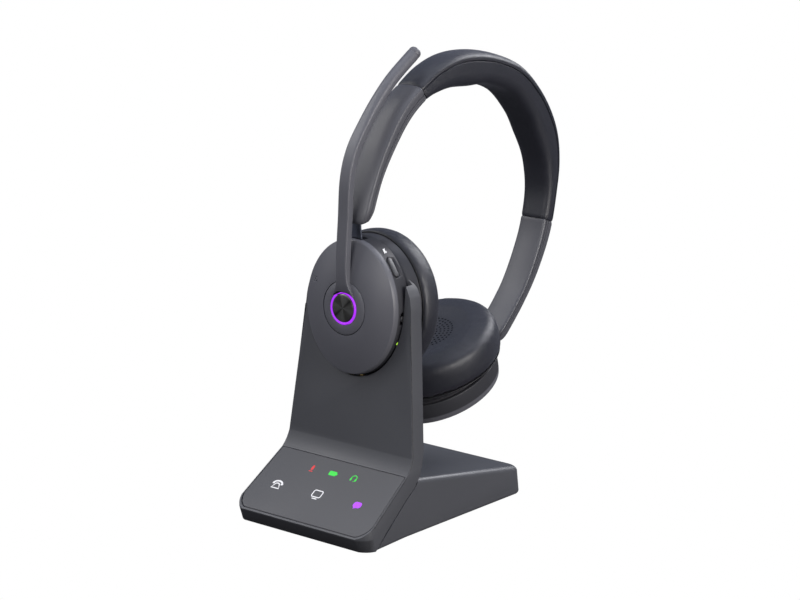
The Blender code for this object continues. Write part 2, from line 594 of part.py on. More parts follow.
def build_front_cup(body):
    cup_shell("front", FRONT_CUP, body, HUB_RADIUS)
    cup_inside("front", FRONT_CUP, body, FRONT_PAD_FACE)
    rod("front_hinge_pin", 1.0, 15.0, (0, HINGE_Y, HINGE_Z), "X", FRONT_CUP, STEEL, body, steps=16)
    box("front_board", (-16, -24, -3.4), (16, 22, -1.9), FRONT_CUP, BOARD, body)
    box("battery_cell", (-13, -22, -9.2), (13, 8, -4.2), FRONT_CUP, STEEL, body, bevel=1.2)
    for name, x in (("cup_contact_left", -4.0), ("cup_contact_right", 4.0)):
        boolean(bpy.data.objects["front_cup_shell"],
                box(name + "_hole", (x - 1.3, -40.0, -8.6), (x + 1.3, -33.0, -6.2), FRONT_CUP, None, cutter=True))
        box(name, (x - 1.0, -37.1, -8.3), (x + 1.0, -34.5, -6.5), FRONT_CUP, GOLD, body)


def side_controls():
    """Mute button, power switch and status light on the front cup's rim."""
    shell = bpy.data.objects["front_cup_shell"]
    made = {}
    for name, angle, depth, length, width in SIDE_CONTROLS:
        turn = radians(angle)
        spot = Vector((RIM_A * cos(turn), RIM_B * sin(turn), depth))
        out = Vector((cos(turn) / RIM_A, sin(turn) / RIM_B, 0)).normalized()
        along = Vector((-out.y, out.x, 0))
        made[name] = FRONT_CUP @ frame_of(spot, along, Vector((0, 0, 1)), Vector((along.y, -along.x, 0)))
        boolean(shell, box(name + "_hole", (-length / 2 - GAP, -width / 2 - GAP, -4),
                           (length / 2 + GAP, width / 2 + GAP, 4), made[name], None, cutter=True))
    return made


def build():
    lift = pivot("front_cup_body", FRONT_CUP, (0, 0, 0))
    boom = pivot("boom_body", FRONT_CUP, (0, 0, CUP_DOME))
    build_stand()
    build_front_cup(lift)
    places = side_controls()
    turned("call_button", [(0, CUP_DOME + 1.5), (6.4, CUP_DOME + 1.3), (7.5, CUP_DOME + 0.8), (7.5, 1.8), (0, 1.8)],
           FRONT_CUP, STEEL, pivot("call_button_body", FRONT_CUP, (0, 0, CUP_DOME)), steps=32)
    build_boom(boom)
    for name, length, width in (("mute_button", 11.0, 3.2), ("power_switch", 3.2, 2.6)):
        body = pivot(name + "_body", places[name], (0, 0, 0))
        box(name, (-length / 2, -width / 2, -2.0), (length / 2, width / 2, 0.35), places[name], CUP_PLASTIC, body,
            bevel=0.6)
    rod("status_light", 0.8, 1.6, (0, 0, -0.7), "Z", places["status_light"], GREEN_LAMP, lift, steps=12)

    front_hinge = pivot("front_slider_body", FRONT_CUP, (0, HINGE_Y, HINGE_Z))
    slider("front", FRONT_CUP, FRONT_SLIDER, front_hinge)
    build_headband(pivot("headband_body", BAND, (0, 0, 0)))
    back_hinge = pivot("back_slider_body", BAND, (0, 70.0, 5.0))
    slider("back", BACK_CUP, BACK_SLIDER, back_hinge)

    back = pivot("back_cup_body", BACK_CUP, (0, HINGE_Y, HINGE_Z))
    cup_shell("back", BACK_CUP, back, HUB_RADIUS)
    cup_inside("back", BACK_CUP, back, BACK_PAD_FACE)
    turned("back_hub_cap", [(0, CUP_DOME + 0.2), (HUB_RADIUS, CUP_DOME), (HUB_RADIUS, 2.9), (0, 2.9)], BACK_CUP,
           CUP_PLASTIC, back, steps=32)
    rod("back_hinge_pin", 1.0, 15.0, (0, HINGE_Y, HINGE_Z), "X", BACK_CUP, STEEL, back, steps=16)
    box("back_board", (-12, -18, -3.4), (12, 16, -1.9), BACK_CUP, BOARD, back)


build()
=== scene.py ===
"""Looks for a cordless office headset that stands docked in the cradle of its charging stand.

Lengths named here are in millimetres and become metres when a piece gets its place. The axes are the
frame's: +Z up, the stand's panel faces -Y.
"""
from math import cos, pi, radians, sin, sqrt

import bpy
from mathutils import Matrix, Vector


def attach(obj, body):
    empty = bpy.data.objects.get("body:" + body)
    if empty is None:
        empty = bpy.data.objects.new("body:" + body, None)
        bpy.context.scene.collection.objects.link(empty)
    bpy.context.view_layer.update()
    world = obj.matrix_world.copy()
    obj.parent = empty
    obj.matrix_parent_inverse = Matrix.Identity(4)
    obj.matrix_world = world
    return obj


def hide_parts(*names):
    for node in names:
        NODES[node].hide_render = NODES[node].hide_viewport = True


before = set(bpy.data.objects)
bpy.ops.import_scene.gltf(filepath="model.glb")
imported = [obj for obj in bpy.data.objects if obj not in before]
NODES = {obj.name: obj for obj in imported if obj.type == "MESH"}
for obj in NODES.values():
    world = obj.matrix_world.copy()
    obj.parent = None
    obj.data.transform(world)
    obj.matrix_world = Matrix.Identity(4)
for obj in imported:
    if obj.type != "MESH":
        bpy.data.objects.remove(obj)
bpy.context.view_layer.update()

bl_info = {
    "name": "Office headset on its charging stand",
    "version": (1, 0, 0),
    "blender": (4, 5, 0),
    "location": "3D View > Sidebar > Headset",
    "description": "Builds the finished surfaces of a docked cordless headset piece by piece",
    "category": "Add Mesh",
}

MM = 0.001

# Stand: BASE_PLAN holds x, y and corner size of one side, FACE_SIDE x and height of the plate's edge
BASE_HALF_WIDTH = 43.2
BASE_PLAN = [(46.7, -68.9, 7.0), (44.0, -32.8, 0.0), (43.2, 67.5, 5.0)]
BASE_FRONT, BASE_BACK = -68.9, 67.5
BASE_SPREAD, FRONT_LEAN = 0.7, 4.6
BASE_BACK_HEIGHT, BASE_TOP_FRONT = 16.4, 30.47
BODY_BOTTOM = 1.1
PANEL_FRONT = Vector((-68.9, 8.6))
PANEL_CREASE = Vector((-32.0, 33.9))
PANEL_ALONG = (PANEL_CREASE - PANEL_FRONT).normalized()
PANEL_INWARD = Vector((PANEL_ALONG.y, -PANEL_ALONG.x))
PANEL_LEAD = PANEL_ALONG * 3.0
BEND = Vector((-27.5, 37.2))
UPRIGHT_TOP = Vector((-17.0, 142.3))
PLATE_DEPTH = 8.0
FACE_SIDE = [(48.0, 0.0), (48.0, 26.0), (44.4, 31.5), (43.8, 36.0), (43.4, 42.3), (36.6, 114.4),
             (36.2, 121.5), (33.6, 129.0), (29.4, 133.6), (24.6, 136.0)]

# Ear cups, in a cup's own axes: x across, y up, z outwards from the face's edge
CUP_A, CUP_B = 30.2, 35.8
CUP_DOME = 4.6
HUB_RADIUS = 14.3
RIM_A, RIM_B, RIM_BACK = 31.0, 37.2, -11.8
NECK_A, NECK_B, NECK_FRONT = 28.3, 34.8, -12.6
FLARE_A, FLARE_B, FLARE_BACK = 35.2, 37.6, -17.2
PAD_A, PAD_B, PAD_FRONT = 37.2, 39.4, -17.7
FRONT_PAD_FACE, BACK_PAD_FACE = -33.0, -37.0

# Headband, in its own axes: across the head from front to back, and up
BAND_INNER = [(0, 115.4), (21, 111.2), (35, 104.1), (47.5, 97.0), (56.3, 89.1), (62.9, 80.6), (67.7, 69.4),
              (70.8, 57.8), (72.6, 41.7), (72.8, 28.6), (71.5, 18.9), (69.7, 10), (66.8, -3.5)]
BAND_OUTER = [(0, 127.8), (20, 124.8), (37.7, 118.4), (51.6, 109.7), (62.3, 97.6), (69.4, 84.4),
              (75.1, 71), (77.8, 59), (78.9, 44.1), (78.6, 31.7), (77, 19.6), (74.5, 7), (71.2, -7)]
BAND_LEAN = 1.9
FRONT_SEAM, BACK_SEAM = 5.15, 6.1
FRONT_END, BACK_END = 11.4, 12.0
BAND_EDGE_HALF, BAND_TOP_HALF = 8.7, 11.1
BAND_CROWN_EDGE, BAND_CROWN_TOP = 2.2, 4.7
FRONT_SLIDER = [(-62.1, -8.6), (-66.9, -3.4), (-71.2, 2.2), (-73.3, 9.0), (-75.1, 19.4), (-76.5, 31.0)]
BACK_SLIDER = [(59.3, -18.3), (64.8, -11.9), (69.6, -5.4), (72.9, 8.4), (75.1, 19.4), (76.5, 31.0)]
SLIDER_HALF_WIDTH, SLIDER_DEPTH = 3.9, 1.0
HINGE_Y, HINGE_Z = 30.5, -5.0

# Boom, in the front cup's (y, z)
BOOM_PATH = [(9.4, 5.3), (14.5, 5.8), (25.9, 6.4), (46.8, 5.8), (67.8, 5.2), (83.0, 0.8), (97.5, -9.0),
             (109.6, -19.2), (119.2, -29.4), (129.9, -44.2)]
BOOM_HALF_WIDTH, BOOM_HALF_DEPTH, BOOM_TIP_RADIUS = 3.6, 2.2, 3.5


def frame_of(place, x_axis, y_axis, z_axis):
    return Matrix.Translation(place) @ Matrix((x_axis, y_axis, z_axis)).transposed().to_4x4()


def cup_frame(place, tilt, facing):
    up = Vector((0.0, sin(tilt), cos(tilt)))
    outward = Vector((0.0, -cos(tilt), sin(tilt))) * facing
    return frame_of(place, Vector((float(facing), 0.0, 0.0)), up, outward)


WORLD = Matrix.Identity(4)
X, Y, Z = Vector((1, 0, 0)), Vector((0, 1, 0)), Vector((0, 0, 1))
FRONT_CUP = cup_frame(Vector((0.0, -26.05, 116.95)), radians(3.0), 1)
BACK_CUP = cup_frame(Vector((0.0, 50.5, 57.1)), radians(68.7), -1)
CUPS = {"front": FRONT_CUP, "back": BACK_CUP}
PAD_FACES = {"front": FRONT_PAD_FACE, "back": BACK_PAD_FACE}
BAND_TILT = radians(33.0)
BAND = frame_of(Vector((0.0, 37.3, 120.5)), X, Vector((0, cos(BAND_TILT), -sin(BAND_TILT))),
                Vector((0, sin(BAND_TILT), cos(BAND_TILT))))


# ---------------------------------------------------------------- mesh making

MESH = bpy.ops.mesh
OUTWARDS = ((MESH.select_all, {"action": "SELECT"}), (MESH.normals_make_consistent, {"inside": False}))
LONE_REACH, SHARED_REACH, ROUNDNESS = 0.97, 0.48, 0.495   # of a side, and of a corner's curve


def only(obj):
    """Select one object and nothing else."""
    bpy.ops.object.select_all(action="DESELECT")
    obj.select_set(True)
    bpy.context.view_layer.objects.active = obj


def edit(obj, *steps):
    """Run edit-mode operators, given as (operator, settings), on the whole of a piece."""
    only(obj)
    bpy.ops.object.mode_set(mode="EDIT")
    MESH.select_mode(type="VERT")
    MESH.select_all(action="SELECT")
    for operator, settings in steps:
        operator(**settings)
    bpy.ops.object.mode_set(mode="OBJECT")


def primitive(name, add, **settings):
    """Add a primitive under a piece's name, with nothing else selected."""
    bpy.ops.object.select_all(action="DESELECT")
    add(**settings)
    obj = bpy.context.object
    obj.name = obj.data.name = name
    return obj


def smooth(obj, angle=35.0):
    only(obj)
    bpy.ops.object.shade_smooth_by_angle(angle=radians(angle))


def skin(name, around, rings, place, caps=True, angle=35.0):
    """Wrap a grid into a tube: place(turn, ring) gives the frame point for a turn from 0 to 1."""
    obj = primitive(name, MESH.primitive_grid_add, x_subdivisions=around, y_subdivisions=rings - 1, size=1.0)
    for vert in obj.data.vertices:
        turn = round((vert.co.x + 0.5) * around) % around
        vert.co = place(turn / around, round((vert.co.y + 0.5) * (rings - 1))) * MM
    fill = [(MESH.fill_holes, {"sides": 0})] if caps else []
    edit(obj, (MESH.remove_doubles, {"threshold": 0.000001}), *fill, *OUTWARDS)
    smooth(obj, angle)
    return obj


def heading(points, i):
    """The direction of a row of points at its point i."""
    return (points[min(i + 1, len(points) - 1)] - points[max(i - 1, 0)]).normalized()


def eased(share):
    return share * share * (3 - 2 * share)


def softened(points, radius, steps=4):
    """Round the inner corners of a row of points. radius is one number or one for each point."""
    points = [Vector(p) for p in points]
    last = len(points) - 1
    radii = radius if isinstance(radius, (list, tuple)) else [radius] * len(points)
    made = [points[0]]
    for i in range(1, last):
        corner, size = points[i], radii[i]
        if size <= 0:
            made.append(corner)
            continue
        ends = []
        for side, lone in ((points[i - 1] - corner, i == 1), (points[i + 1] - corner, i == last - 1)):
            reach = side.length * (LONE_REACH if lone else SHARED_REACH)
            ends.append(corner + side.normalized() * min(size, reach))
        for j in range(steps + 1):
            t = j / steps
            bend = ROUNDNESS * t * (1 - t)
            made.append(ends[0] * ((1 - t) ** 2 + bend) + corner * (2 * t * (1 - t) - 2 * bend)
                        + ends[1] * (t * t + bend))
    return made + [points[-1]]


def softened_loop(points, radius, steps=3):
    """The same for a closed outline."""
    ring = [Vector(p) for p in points]
    radii = list(radius) if isinstance(radius, (list, tuple)) else [radius] * len(ring)
    middle = (ring[0] + ring[-1]) / 2
    return softened([middle] + ring + [middle], [0] + radii + [0], steps)[:-1]


def oval_stack(name, rows, place, around=128, ring_closed=False, angle=35.0):
    """Skin ovals given as (a, b, z); ring_closed joins the last to the first."""
    rows = list(rows) + ([rows[0]] if ring_closed else [])

    def spot(turn, ring):
        a, b, z = rows[ring]
        return place @ Vector((a * cos(2 * pi * turn), b * sin(2 * pi * turn), z))

    return skin(name, around, len(rows), spot, caps=not ring_closed, angle=angle)


def turned(name, profile, place, around=96, ring_closed=False, angle=35.0):
    """A round piece from a profile of (radius, z); a radius of 0 closes to a pole."""
    return oval_stack(name, [(r, r, z) for r, z in profile], place, around, ring_closed, angle)


def slab(name, outline, place, shift):
    """A flat outline in a plane, extruded by shift: place(u, v) gives the first face's points."""
    obj = primitive(name, MESH.primitive_circle_add, vertices=len(outline), radius=1.0, fill_type="NGON")
    for vert, (u, v) in zip(obj.data.vertices, outline):
        vert.co = place(u, v) * MM
    moved = {"value": Vector(shift) * MM}
    edit(obj, (MESH.extrude_region_move, {"TRANSFORM_OT_translate": moved}), *OUTWARDS)
    return obj


def block(name, low, high, place=WORLD):
    """A cube between two corners of a place's axes."""
    obj = primitive(name, MESH.primitive_cube_add, size=1.0)
    low, high = Vector(low), Vector(high)
    for vert in obj.data.vertices:
        share = vert.co + Vector((0.5, 0.5, 0.5))
        vert.co = (place @ Vector([low[i] + (high[i] - low[i]) * share[i] for i in range(3)])) * MM
    edit(obj, *OUTWARDS)
    return obj


def apply_modifier(obj, modifier):
    only(obj)
    bpy.ops.object.modifier_apply(modifier=modifier.name)


def combine(obj, other, operation="DIFFERENCE"):
    """Cut obj by other, or keep what they share, and remove other."""
    cut = obj.modifiers.new("cut", "BOOLEAN")
    cut.object = other
    cut.operation = operation
    cut.solver = "EXACT"
    apply_modifier(obj, cut)
    bpy.data.objects.remove(other, do_unlink=True)
    return obj


def ease_edges(obj, width, segments=3, angle=30.0, flat=1.0):
    """Clean the cut faces and round every edge sharper than angle."""
    edit(obj, (MESH.remove_doubles, {"threshold": 0.000004}),
         (MESH.dissolve_limited, {"angle_limit": radians(flat)}))
    bevel = obj.modifiers.new("eased", "BEVEL")
    bevel.width = width * MM
    bevel.segments = segments
    bevel.limit_method = "ANGLE"
    bevel.angle_limit = radians(angle)
    bevel.use_clamp_overlap = True
    bevel.miter_outer = "MITER_ARC"
    apply_modifier(obj, bevel)
    smooth(obj, 30.0)
    return obj


def rounded_copy(name, node, width, segments=3, angle=30.0):
    """A welded copy of a CAD node with its edges rounded."""
    obj = bpy.data.objects.new(name, NODES[node].data.copy())
    bpy.context.scene.collection.objects.link(obj)
    return ease_edges(obj, width, segments, angle)


def wear(obj, material, body, slot, replaces=()):
    """Give a finished piece its material and its body, and hide the CAD nodes that it stands for; slot is not
    used.
    """
    paint(obj, material)
    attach(obj, body)
    if replaces:
        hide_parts(*replaces)


def paint(obj, material):
    obj.data.materials.clear()
    obj.data.materials.append(material)


def finish_nodes(looks, **nodes):
    """Give each CAD node that stays visible its material: node="look"."""
    for node, look in nodes.items():
        paint(NODES[node], looks[look])


# ---------------------------------------------------------------- materials

class Wire:
    """A shader socket that takes part in sums: each operator adds a Math node."""

    def __init__(self, maker, socket):
        self.maker, self.socket = maker, socket

    def sum(self, operation, *values):
        return self.maker.node("ShaderNodeMath", {"operation": operation}, dict(enumerate(values)))

    def __add__(self, other): return self.sum("ADD", self, other)
    def __radd__(self, other): return self.sum("ADD", other, self)
    def __sub__(self, other): return self.sum("SUBTRACT", self, other)
    def __rsub__(self, other): return self.sum("SUBTRACT", other, self)
    def __mul__(self, other): return self.sum("MULTIPLY", self, other)
    def __rmul__(self, other): return self.sum("MULTIPLY", other, self)
    def __truediv__(self, other): return self.sum("DIVIDE", self, other)
    def __pow__(self, other): return self.sum("POWER", self, other)
    def __abs__(self): return self.sum("ABSOLUTE", self)
    def __lt__(self, other): return self.sum("LESS_THAN", self, other)

    def of(self, operation, *others): return self.sum(operation, self, *others)


class Finish:
    """One procedural material built around a Principled shader."""

    def __init__(self, name, colour, roughness, metallic=0.0, **constants):
        self.material = bpy.data.materials.new(name)
        self.material.use_nodes = True
        self.tree = self.material.node_tree
        self.shader = self.tree.nodes["Principled BSDF"]
        self.set("Base Color", (*colour, 1.0))
        self.set("Roughness", roughness)
        self.set("Metallic", metallic)
        for socket, value in constants.items():
            self.set(socket.replace("_", " "), value)
        self.material.diffuse_color = (*colour, 1.0)

    def set(self, socket, value):
        self.plug(self.shader.inputs[socket], value)

    def plug(self, socket, value):
        if isinstance(value, Wire):
            self.tree.links.new(value.socket, socket)
        else:
            socket.default_value = value

    def node(self, kind, settings=None, inputs=None, output=0):
        made = self.tree.nodes.new(kind)
        for key, value in (settings or {}).items():
            setattr(made, key, value)
        for key, value in (inputs or {}).items():
            self.plug(made.inputs[key], value)
        return Wire(self, made.outputs[output])

    def place(self, matrix=None, scale=None):
        """Object coordinates in metres, taken into a cup's or the band's own axes when matrix is given."""
        spot = self.node("ShaderNodeTexCoord", output=3)
        if matrix is not None:
            inverse = matrix.inverted()
            spot = self.node("ShaderNodeMapping", None, {"Vector": spot, "Location": inverse.translation * MM,
                                                         "Rotation": inverse.to_euler("XYZ")})
        if scale is not None:
            spot = self.node("ShaderNodeVectorMath", {"operation": "MULTIPLY"}, {0: spot, 1: scale})
        return spot

    def split(self, vector):
        parts = self.node("ShaderNodeSeparateXYZ", None, {0: vector})
        outputs = parts.socket.node.outputs
        return [Wire(self, outputs[i]) for i in range(3)]

    def noise(self, scale, vector=None, detail=2.0, roughness=0.5):
        return self.node("ShaderNodeTexNoise", None, {"Vector": vector or self.place(), "Scale": scale,
                                                      "Detail": detail, "Roughness": roughness})

    def cells(self, scale, vector=None, feature="F1"):
        return self.node("ShaderNodeTexVoronoi", {"feature": feature},
                         {"Vector": vector or self.place(), "Scale": scale})

    def range(self, value, low, high, to_low, to_high):
        return self.node("ShaderNodeMapRange", None, {0: value, 1: low, 2: high, 3: to_low, 4: to_high})

    def mix(self, share, first, second):
        made = self.tree.nodes.new("ShaderNodeMix")
        made.data_type = "RGBA"
        self.plug(made.inputs[0], share)
        self.plug(made.inputs[6], first if isinstance(first, Wire) else (*first, 1.0))
        self.plug(made.inputs[7], second if isinstance(second, Wire) else (*second, 1.0))
        return Wire(self, made.outputs[2])

    def blacken_holes_and_shade(self, mask):
        """Show plain black where mask is 1, as a hole does; also used to paint shade."""
        black_for_holes_and_shade = self.node("ShaderNodeBsdfDiffuse", None, {"Color": (0.001, 0.001, 0.001, 1.0)})
        surface = Wire(self, self.shader.outputs[0])
        both = self.node("ShaderNodeMixShader", None, {0: mask, 1: surface, 2: black_for_holes_and_shade})
        output = next(node for node in self.tree.nodes if node.bl_idname == "ShaderNodeOutputMaterial")
        self.tree.links.new(both.socket, output.inputs["Surface"])

    def bump(self, height, depth, strength=1.0):
        """Raise the surface by height times depth, which is in millimetres."""
        self.set("Normal", self.node("ShaderNodeBump", None,
                                     {"Strength": strength, "Distance": depth * MM, "Height": height}))


def tint(colour, factor):
    return tuple(min(1.0, c * factor) for c in colour)


def moulded(name, colour, roughness=0.4, grain=0.006, pitch=0.25, spread=0.05, rim=None, foot=False):
    """Moulded plastic: fine spark-eroded grain, a slow drift of tone and a little uneven gloss.

    rim is the frame of an ear cup whose side, behind its face, gets painted shade: a mix towards black.
    foot paints shade on the stand's front face, under the panel, in the same way."""
    make = Finish(name, colour, roughness)
    drift = make.noise(28.0, detail=3.0)
    speck = make.noise(1000.0 / pitch, detail=3.0, roughness=0.7)
    shade = make.mix(drift * 0.6 + speck * 0.4, tint(colour, 1 - spread), tint(colour, 1 + spread))
    if rim is not None:
        # painted shade: the cup's side behind its face is mixed towards black
        x, y, z = make.split(make.place(rim))
        make.blacken_holes_and_shade(make.range(z * 1000.0, -3.6, -2.8, 0.62, 0.0))
    if foot:
        # painted shade: the stand's front face under the panel is mixed towards black
        x, y, z = make.split(make.place())
        painted_foot_shade = make.range(z * 1000.0, 7.6, 8.3, 0.45, 0.0)
        make.blacken_holes_and_shade(painted_foot_shade * make.range(y * 1000.0, -63.0, -60.0, 1.0, 0.0))
    make.set("Base Color", shade)
    make.set("Roughness", make.range(drift + speck * 0.5, 0.4, 1.1, roughness - 0.04, roughness + 0.05))
    make.bump(speck, grain)
    return make.material


def leather(name, colour, roughness, matrix=None, holes=0.0):
    """Protein leather: small pebbled cells, fine creases and, on an ear cushion, a round field of holes."""
    make = Finish(name, colour, roughness, Sheen_Weight=0.06, Sheen_Roughness=0.4,
                  Sheen_Tint=(0.7, 0.72, 0.9, 1.0))
    cells = make.cells(1500.0, feature="DISTANCE_TO_EDGE")
    crease = make.noise(420.0, detail=4.0, roughness=0.6)
    tone = make.noise(45.0, detail=2.0)
    shade = make.mix(tone, tint(colour, 0.86), tint(colour, 1.14))
    height = make.range(cells, 0.0, 0.12, 0.0, 1.0) * 0.7 + crease * 0.6
    if holes:
        x, y, z = make.split(make.place(matrix))
        dots = hole_field(make, x * 1000.0, y * 1000.0, holes)
        shade = make.mix(dots, shade, tint(colour, 0.06))
        height = height - dots * 8.0
        make.blacken_holes_and_shade(dots)
    make.set("Base Color", shade)
    make.set("Roughness", make.range(crease, 0.3, 0.7, roughness - 0.05, roughness + 0.07))
    make.bump(height, 0.03)
    return make.material


def hole_field(make, x, y, radius, pitch=2.2, hole=0.6):
    """A mask of small round holes on rings inside a round field; lengths in millimetres."""
    reach = (x ** 2.0 + y ** 2.0).of("SQRT")
    ring = (reach / pitch).of("FLOOR")
    count = ring * 6.0 + 3.0
    turn = y.of("ARCTAN2", x) / (2 * pi) + 0.5
    across = ((reach / pitch).of("FRACT") - 0.5) * pitch
    round_it = ((turn * count + ring * 0.37).of("FRACT") - 0.5) * (reach * 2 * pi / count)
    near = (across ** 2.0 + round_it ** 2.0).of("SQRT")
    return (near < hole) * (reach < radius)


def brushed(name, colour, roughness, matrix):
    """Metal brushed along a piece's up axis."""
    make = Finish(name, colour, roughness, 1.0, Anisotropic=0.5)
    streak = make.noise(90.0, make.place(matrix, (40.0, 1.0, 1.0)), detail=4.0, roughness=0.7)
    make.set("Base Color", make.mix(streak, tint(colour, 0.8), tint(colour, 1.15)))
    make.set("Roughness", make.range(streak, 0.3, 0.7, roughness - 0.06, roughness + 0.1))
    make.bump(streak, 0.004)
    return make.material


def spun(name, colour, roughness, matrix):
    """Metal disc spun on a lathe: fine rings in the bump and, painted into its colour, crossed fans of
    highlight.
    """
    make = Finish(name, colour, roughness, 1.0)
    x, y, z = make.split(make.place(matrix))
    turn = y.of("ARCTAN2", x)
    painted_highlight_fan = abs((turn * 2.0 + 0.2).of("COSINE")) ** 2.0
    fine = abs((turn * 5.0 + 1.1).of("COSINE"))
    reach = (x ** 2.0 + y ** 2.0).of("SQRT")
    rings = (reach * 24000.0).of("SINE")
    # painted highlight: crossed fans of light and dark by angle in the base colour
    make.set("Base Color", make.mix(painted_highlight_fan * 0.8 + fine * 0.2, tint(colour, 0.22), tint(colour, 1.9)))
    make.set("Roughness", make.range(painted_highlight_fan, 0.0, 1.0, roughness + 0.1, roughness - 0.05))
    make.bump(rings, 0.004)
    return make.material


def lit(name, colour, strength):
    """A lit window: an even glow with a faint noisy change of brightness."""
    make = Finish(name, tint(colour, 0.25), 0.35)
    flicker = make.noise(200.0, detail=1.0)
    make.set("Emission Color", make.mix(flicker * 0.3, colour, tint(colour, 0.85)))
    make.set("Emission Strength", strength)
    return make.material


def plain_metal(name, colour, roughness):
    make = Finish(name, colour, roughness, 1.0)
    scuff = make.noise(600.0, detail=4.0, roughness=0.7)
    make.set("Base Color", make.mix(scuff, tint(colour, 0.85), tint(colour, 1.1)))
    make.set("Roughness", make.range(scuff, 0.3, 0.7, roughness - 0.05, roughness + 0.1))
    make.bump(scuff, 0.005)
    return make.material


# ---------------------------------------------------------------- settings

def colour_property(name, description, default):
    return bpy.props.FloatVectorProperty(name=name, description=description, default=default, subtype="COLOR",
                                         min=0.0, max=1.0, size=3)


class HeadsetColours(bpy.types.PropertyGroup):
    """Colours a user would change."""
    stand: colour_property("Stand", "Plastic of the stand", (0.050, 0.051, 0.057))
    panel: colour_property("Panel", "Touch panel sheet", (0.064, 0.064, 0.068))
    cup: colour_property("Cups", "Ear cup shells and boom", (0.086, 0.086, 0.098))
    arm: colour_property("Arms", "Headband arms", (0.065, 0.065, 0.074))
    leather: colour_property("Leather", "Cushions and headband padding", (0.0125, 0.013, 0.0185))
    ring: colour_property("Ring light", "Light ring round the call button", (0.42, 0.03, 0.92))
    slider: colour_property("Sliders", "Steel strips that carry the cups", (0.25, 0.27, 0.33))


class HeadsetSizes(bpy.types.PropertyGroup):
    """Sizes a user would change; the CAD sets the rest."""
    edge: bpy.props.FloatProperty(name="Stand edge", description="Rounding of the stand's edges",
                                  default=0.0009, unit="LENGTH")
    swell: bpy.props.FloatProperty(name="Cushion swell", description="How far a cushion may swell out",
                                   default=0.0014, unit="LENGTH")
    voxel: bpy.props.FloatProperty(name="Cushion mesh", description="Size of a cushion's mesh cells",
                                   default=0.0018, unit="LENGTH")
    hole_field: bpy.props.FloatProperty(name="Hole field", description="Radius of a cushion's field of holes",
                                        default=0.016, unit="LENGTH")


MATERIALS = {}


def materials():
    """All the finishes, made once."""
    if MATERIALS:
        return MATERIALS
    colours, sizes = bpy.context.scene.headset_colours, bpy.context.scene.headset_sizes
    stand, panel, cup, arm, hide, ring, slider = (
        tuple(getattr(colours, key)) for key in ("stand", "panel", "cup", "arm", "leather", "ring", "slider"))
    field = sizes.hole_field / MM
    MATERIALS.update(
        plate=moulded("plate_plastic", stand, 0.44, 0.012, 0.3, 0.08, foot=True),
        base=moulded("base_plastic", stand, 0.42, 0.012, 0.3, 0.08),
        panel=moulded("panel_plastic", panel, 0.56, 0.004, 0.3, 0.04),
        cup=moulded("cup_plastic", cup),
        front_cup=moulded("front_cup_plastic", cup, rim=FRONT_CUP),
        back_cup=moulded("back_cup_plastic", cup, rim=BACK_CUP),
        boom=moulded("boom_plastic", cup, 0.42),
        arm=moulded("arm_plastic", arm, 0.42, 0.008),
        neck=moulded("neck_plastic", tint(arm, 0.55), 0.36),
        rim=moulded("rim_plastic", tint(cup, 0.34)),
        black=moulded("black_plastic", (0.012, 0.012, 0.014), 0.5, 0.01, 0.35, 0.08),
        rubber=moulded("rubber", (0.02, 0.02, 0.021), 0.8, 0.03, 0.5, 0.08),
        board=moulded("circuit_board", (0.02, 0.15, 0.06), 0.5, 0.02, 1.2, 0.3),
        leather=leather("leather", hide, 0.43),
        front_leather=leather("front_cushion_leather", hide, 0.45, FRONT_CUP, field),
        back_leather=leather("back_cushion_leather", hide, 0.45, BACK_CUP, field),
        slider=brushed("slider_steel", slider, 0.32, BAND),
        spun=spun("spun_metal", (0.13, 0.13, 0.12), 0.34, FRONT_CUP),
        ring=lit("ring_glow", ring, 1.0),
        white=lit("white_glow", (0.75, 0.75, 0.78), 0.9),
        red=lit("red_glow", (0.6, 0.006, 0.01), 1.0),
        green=lit("green_glow", (0.01, 0.62, 0.03), 1.0),
        status=lit("status_glow", (0.45, 0.85, 0.05), 1.0),
        steel=plain_metal("plain_steel", (0.6, 0.6, 0.62), 0.35),
        gold=plain_metal("contact_gold", (0.8, 0.6, 0.25), 0.25),
        ballast=plain_metal("ballast_steel", (0.2, 0.2, 0.21), 0.55),
        foil=plain_metal("cell_foil", (0.7, 0.7, 0.72), 0.3))
    return MATERIALS


# ---------------------------------------------------------------- stand

def plan_outline(shrink, set_back=0.0):
    """The stand's plan, anticlockwise from the front right corner, narrower by shrink on each side."""
    side = [(x - shrink, y + (1.6 * shrink + set_back if y < -50 else -shrink if y > 50 else 0.0), size)
            for x, y, size in BASE_PLAN]
    corners = side + [(-x, y, size) for x, y, size in reversed(side)]
    return softened_loop([c[:2] for c in corners], [c[2] for c in corners], 14)


def stacked(name, outlines, height):
    """Skin plans one above the other; height(ring, point) gives a point its level."""
    count = len(outlines[0])

    def spot(turn, ring):
        flat = outlines[ring][round(turn * count) % count]
        return Vector((flat.x, flat.y, height(ring, flat)))

    return skin(name, count, len(outlines), spot)


def plan_cutter(inset, top=160.0):
    """The footprint: below the panel's edge its front leans back and its sides spread."""
    levels = [-1.0, PANEL_FRONT.y, top]
    drops = [max(0.0, 1 - z / PANEL_FRONT.y) for z in levels]
    outlines = [plan_outline(inset - BASE_SPREAD * drop, FRONT_LEAN * drop) for drop in drops]
    return stacked("plan_cutter", outlines, lambda ring, flat: levels[ring])


def rounded_base(low, high):
    """The base as a solid with its sloping top, its lower edges rounded by low and its upper ones by high."""
    rise = (BASE_TOP_FRONT - BASE_BACK_HEIGHT) / (BASE_BACK + 20.1)
    turns = [pi / 2 * i / 8 for i in range(9)]
    rows = [(low * (1 - sin(t)) - BASE_SPREAD, low * (1 - cos(t)), False) for t in turns]
    rows += [(high * (1 - cos(t)), high * (1 - sin(t)), True) for t in turns]

    def height(ring, flat):
        shrink, lift, top = rows[ring]
        return BASE_BACK_HEIGHT + rise * (BASE_BACK - flat.y) - lift if top else BODY_BOTTOM + lift

    return stacked("base_housing_finished", [plan_outline(row[0]) for row in rows], height)


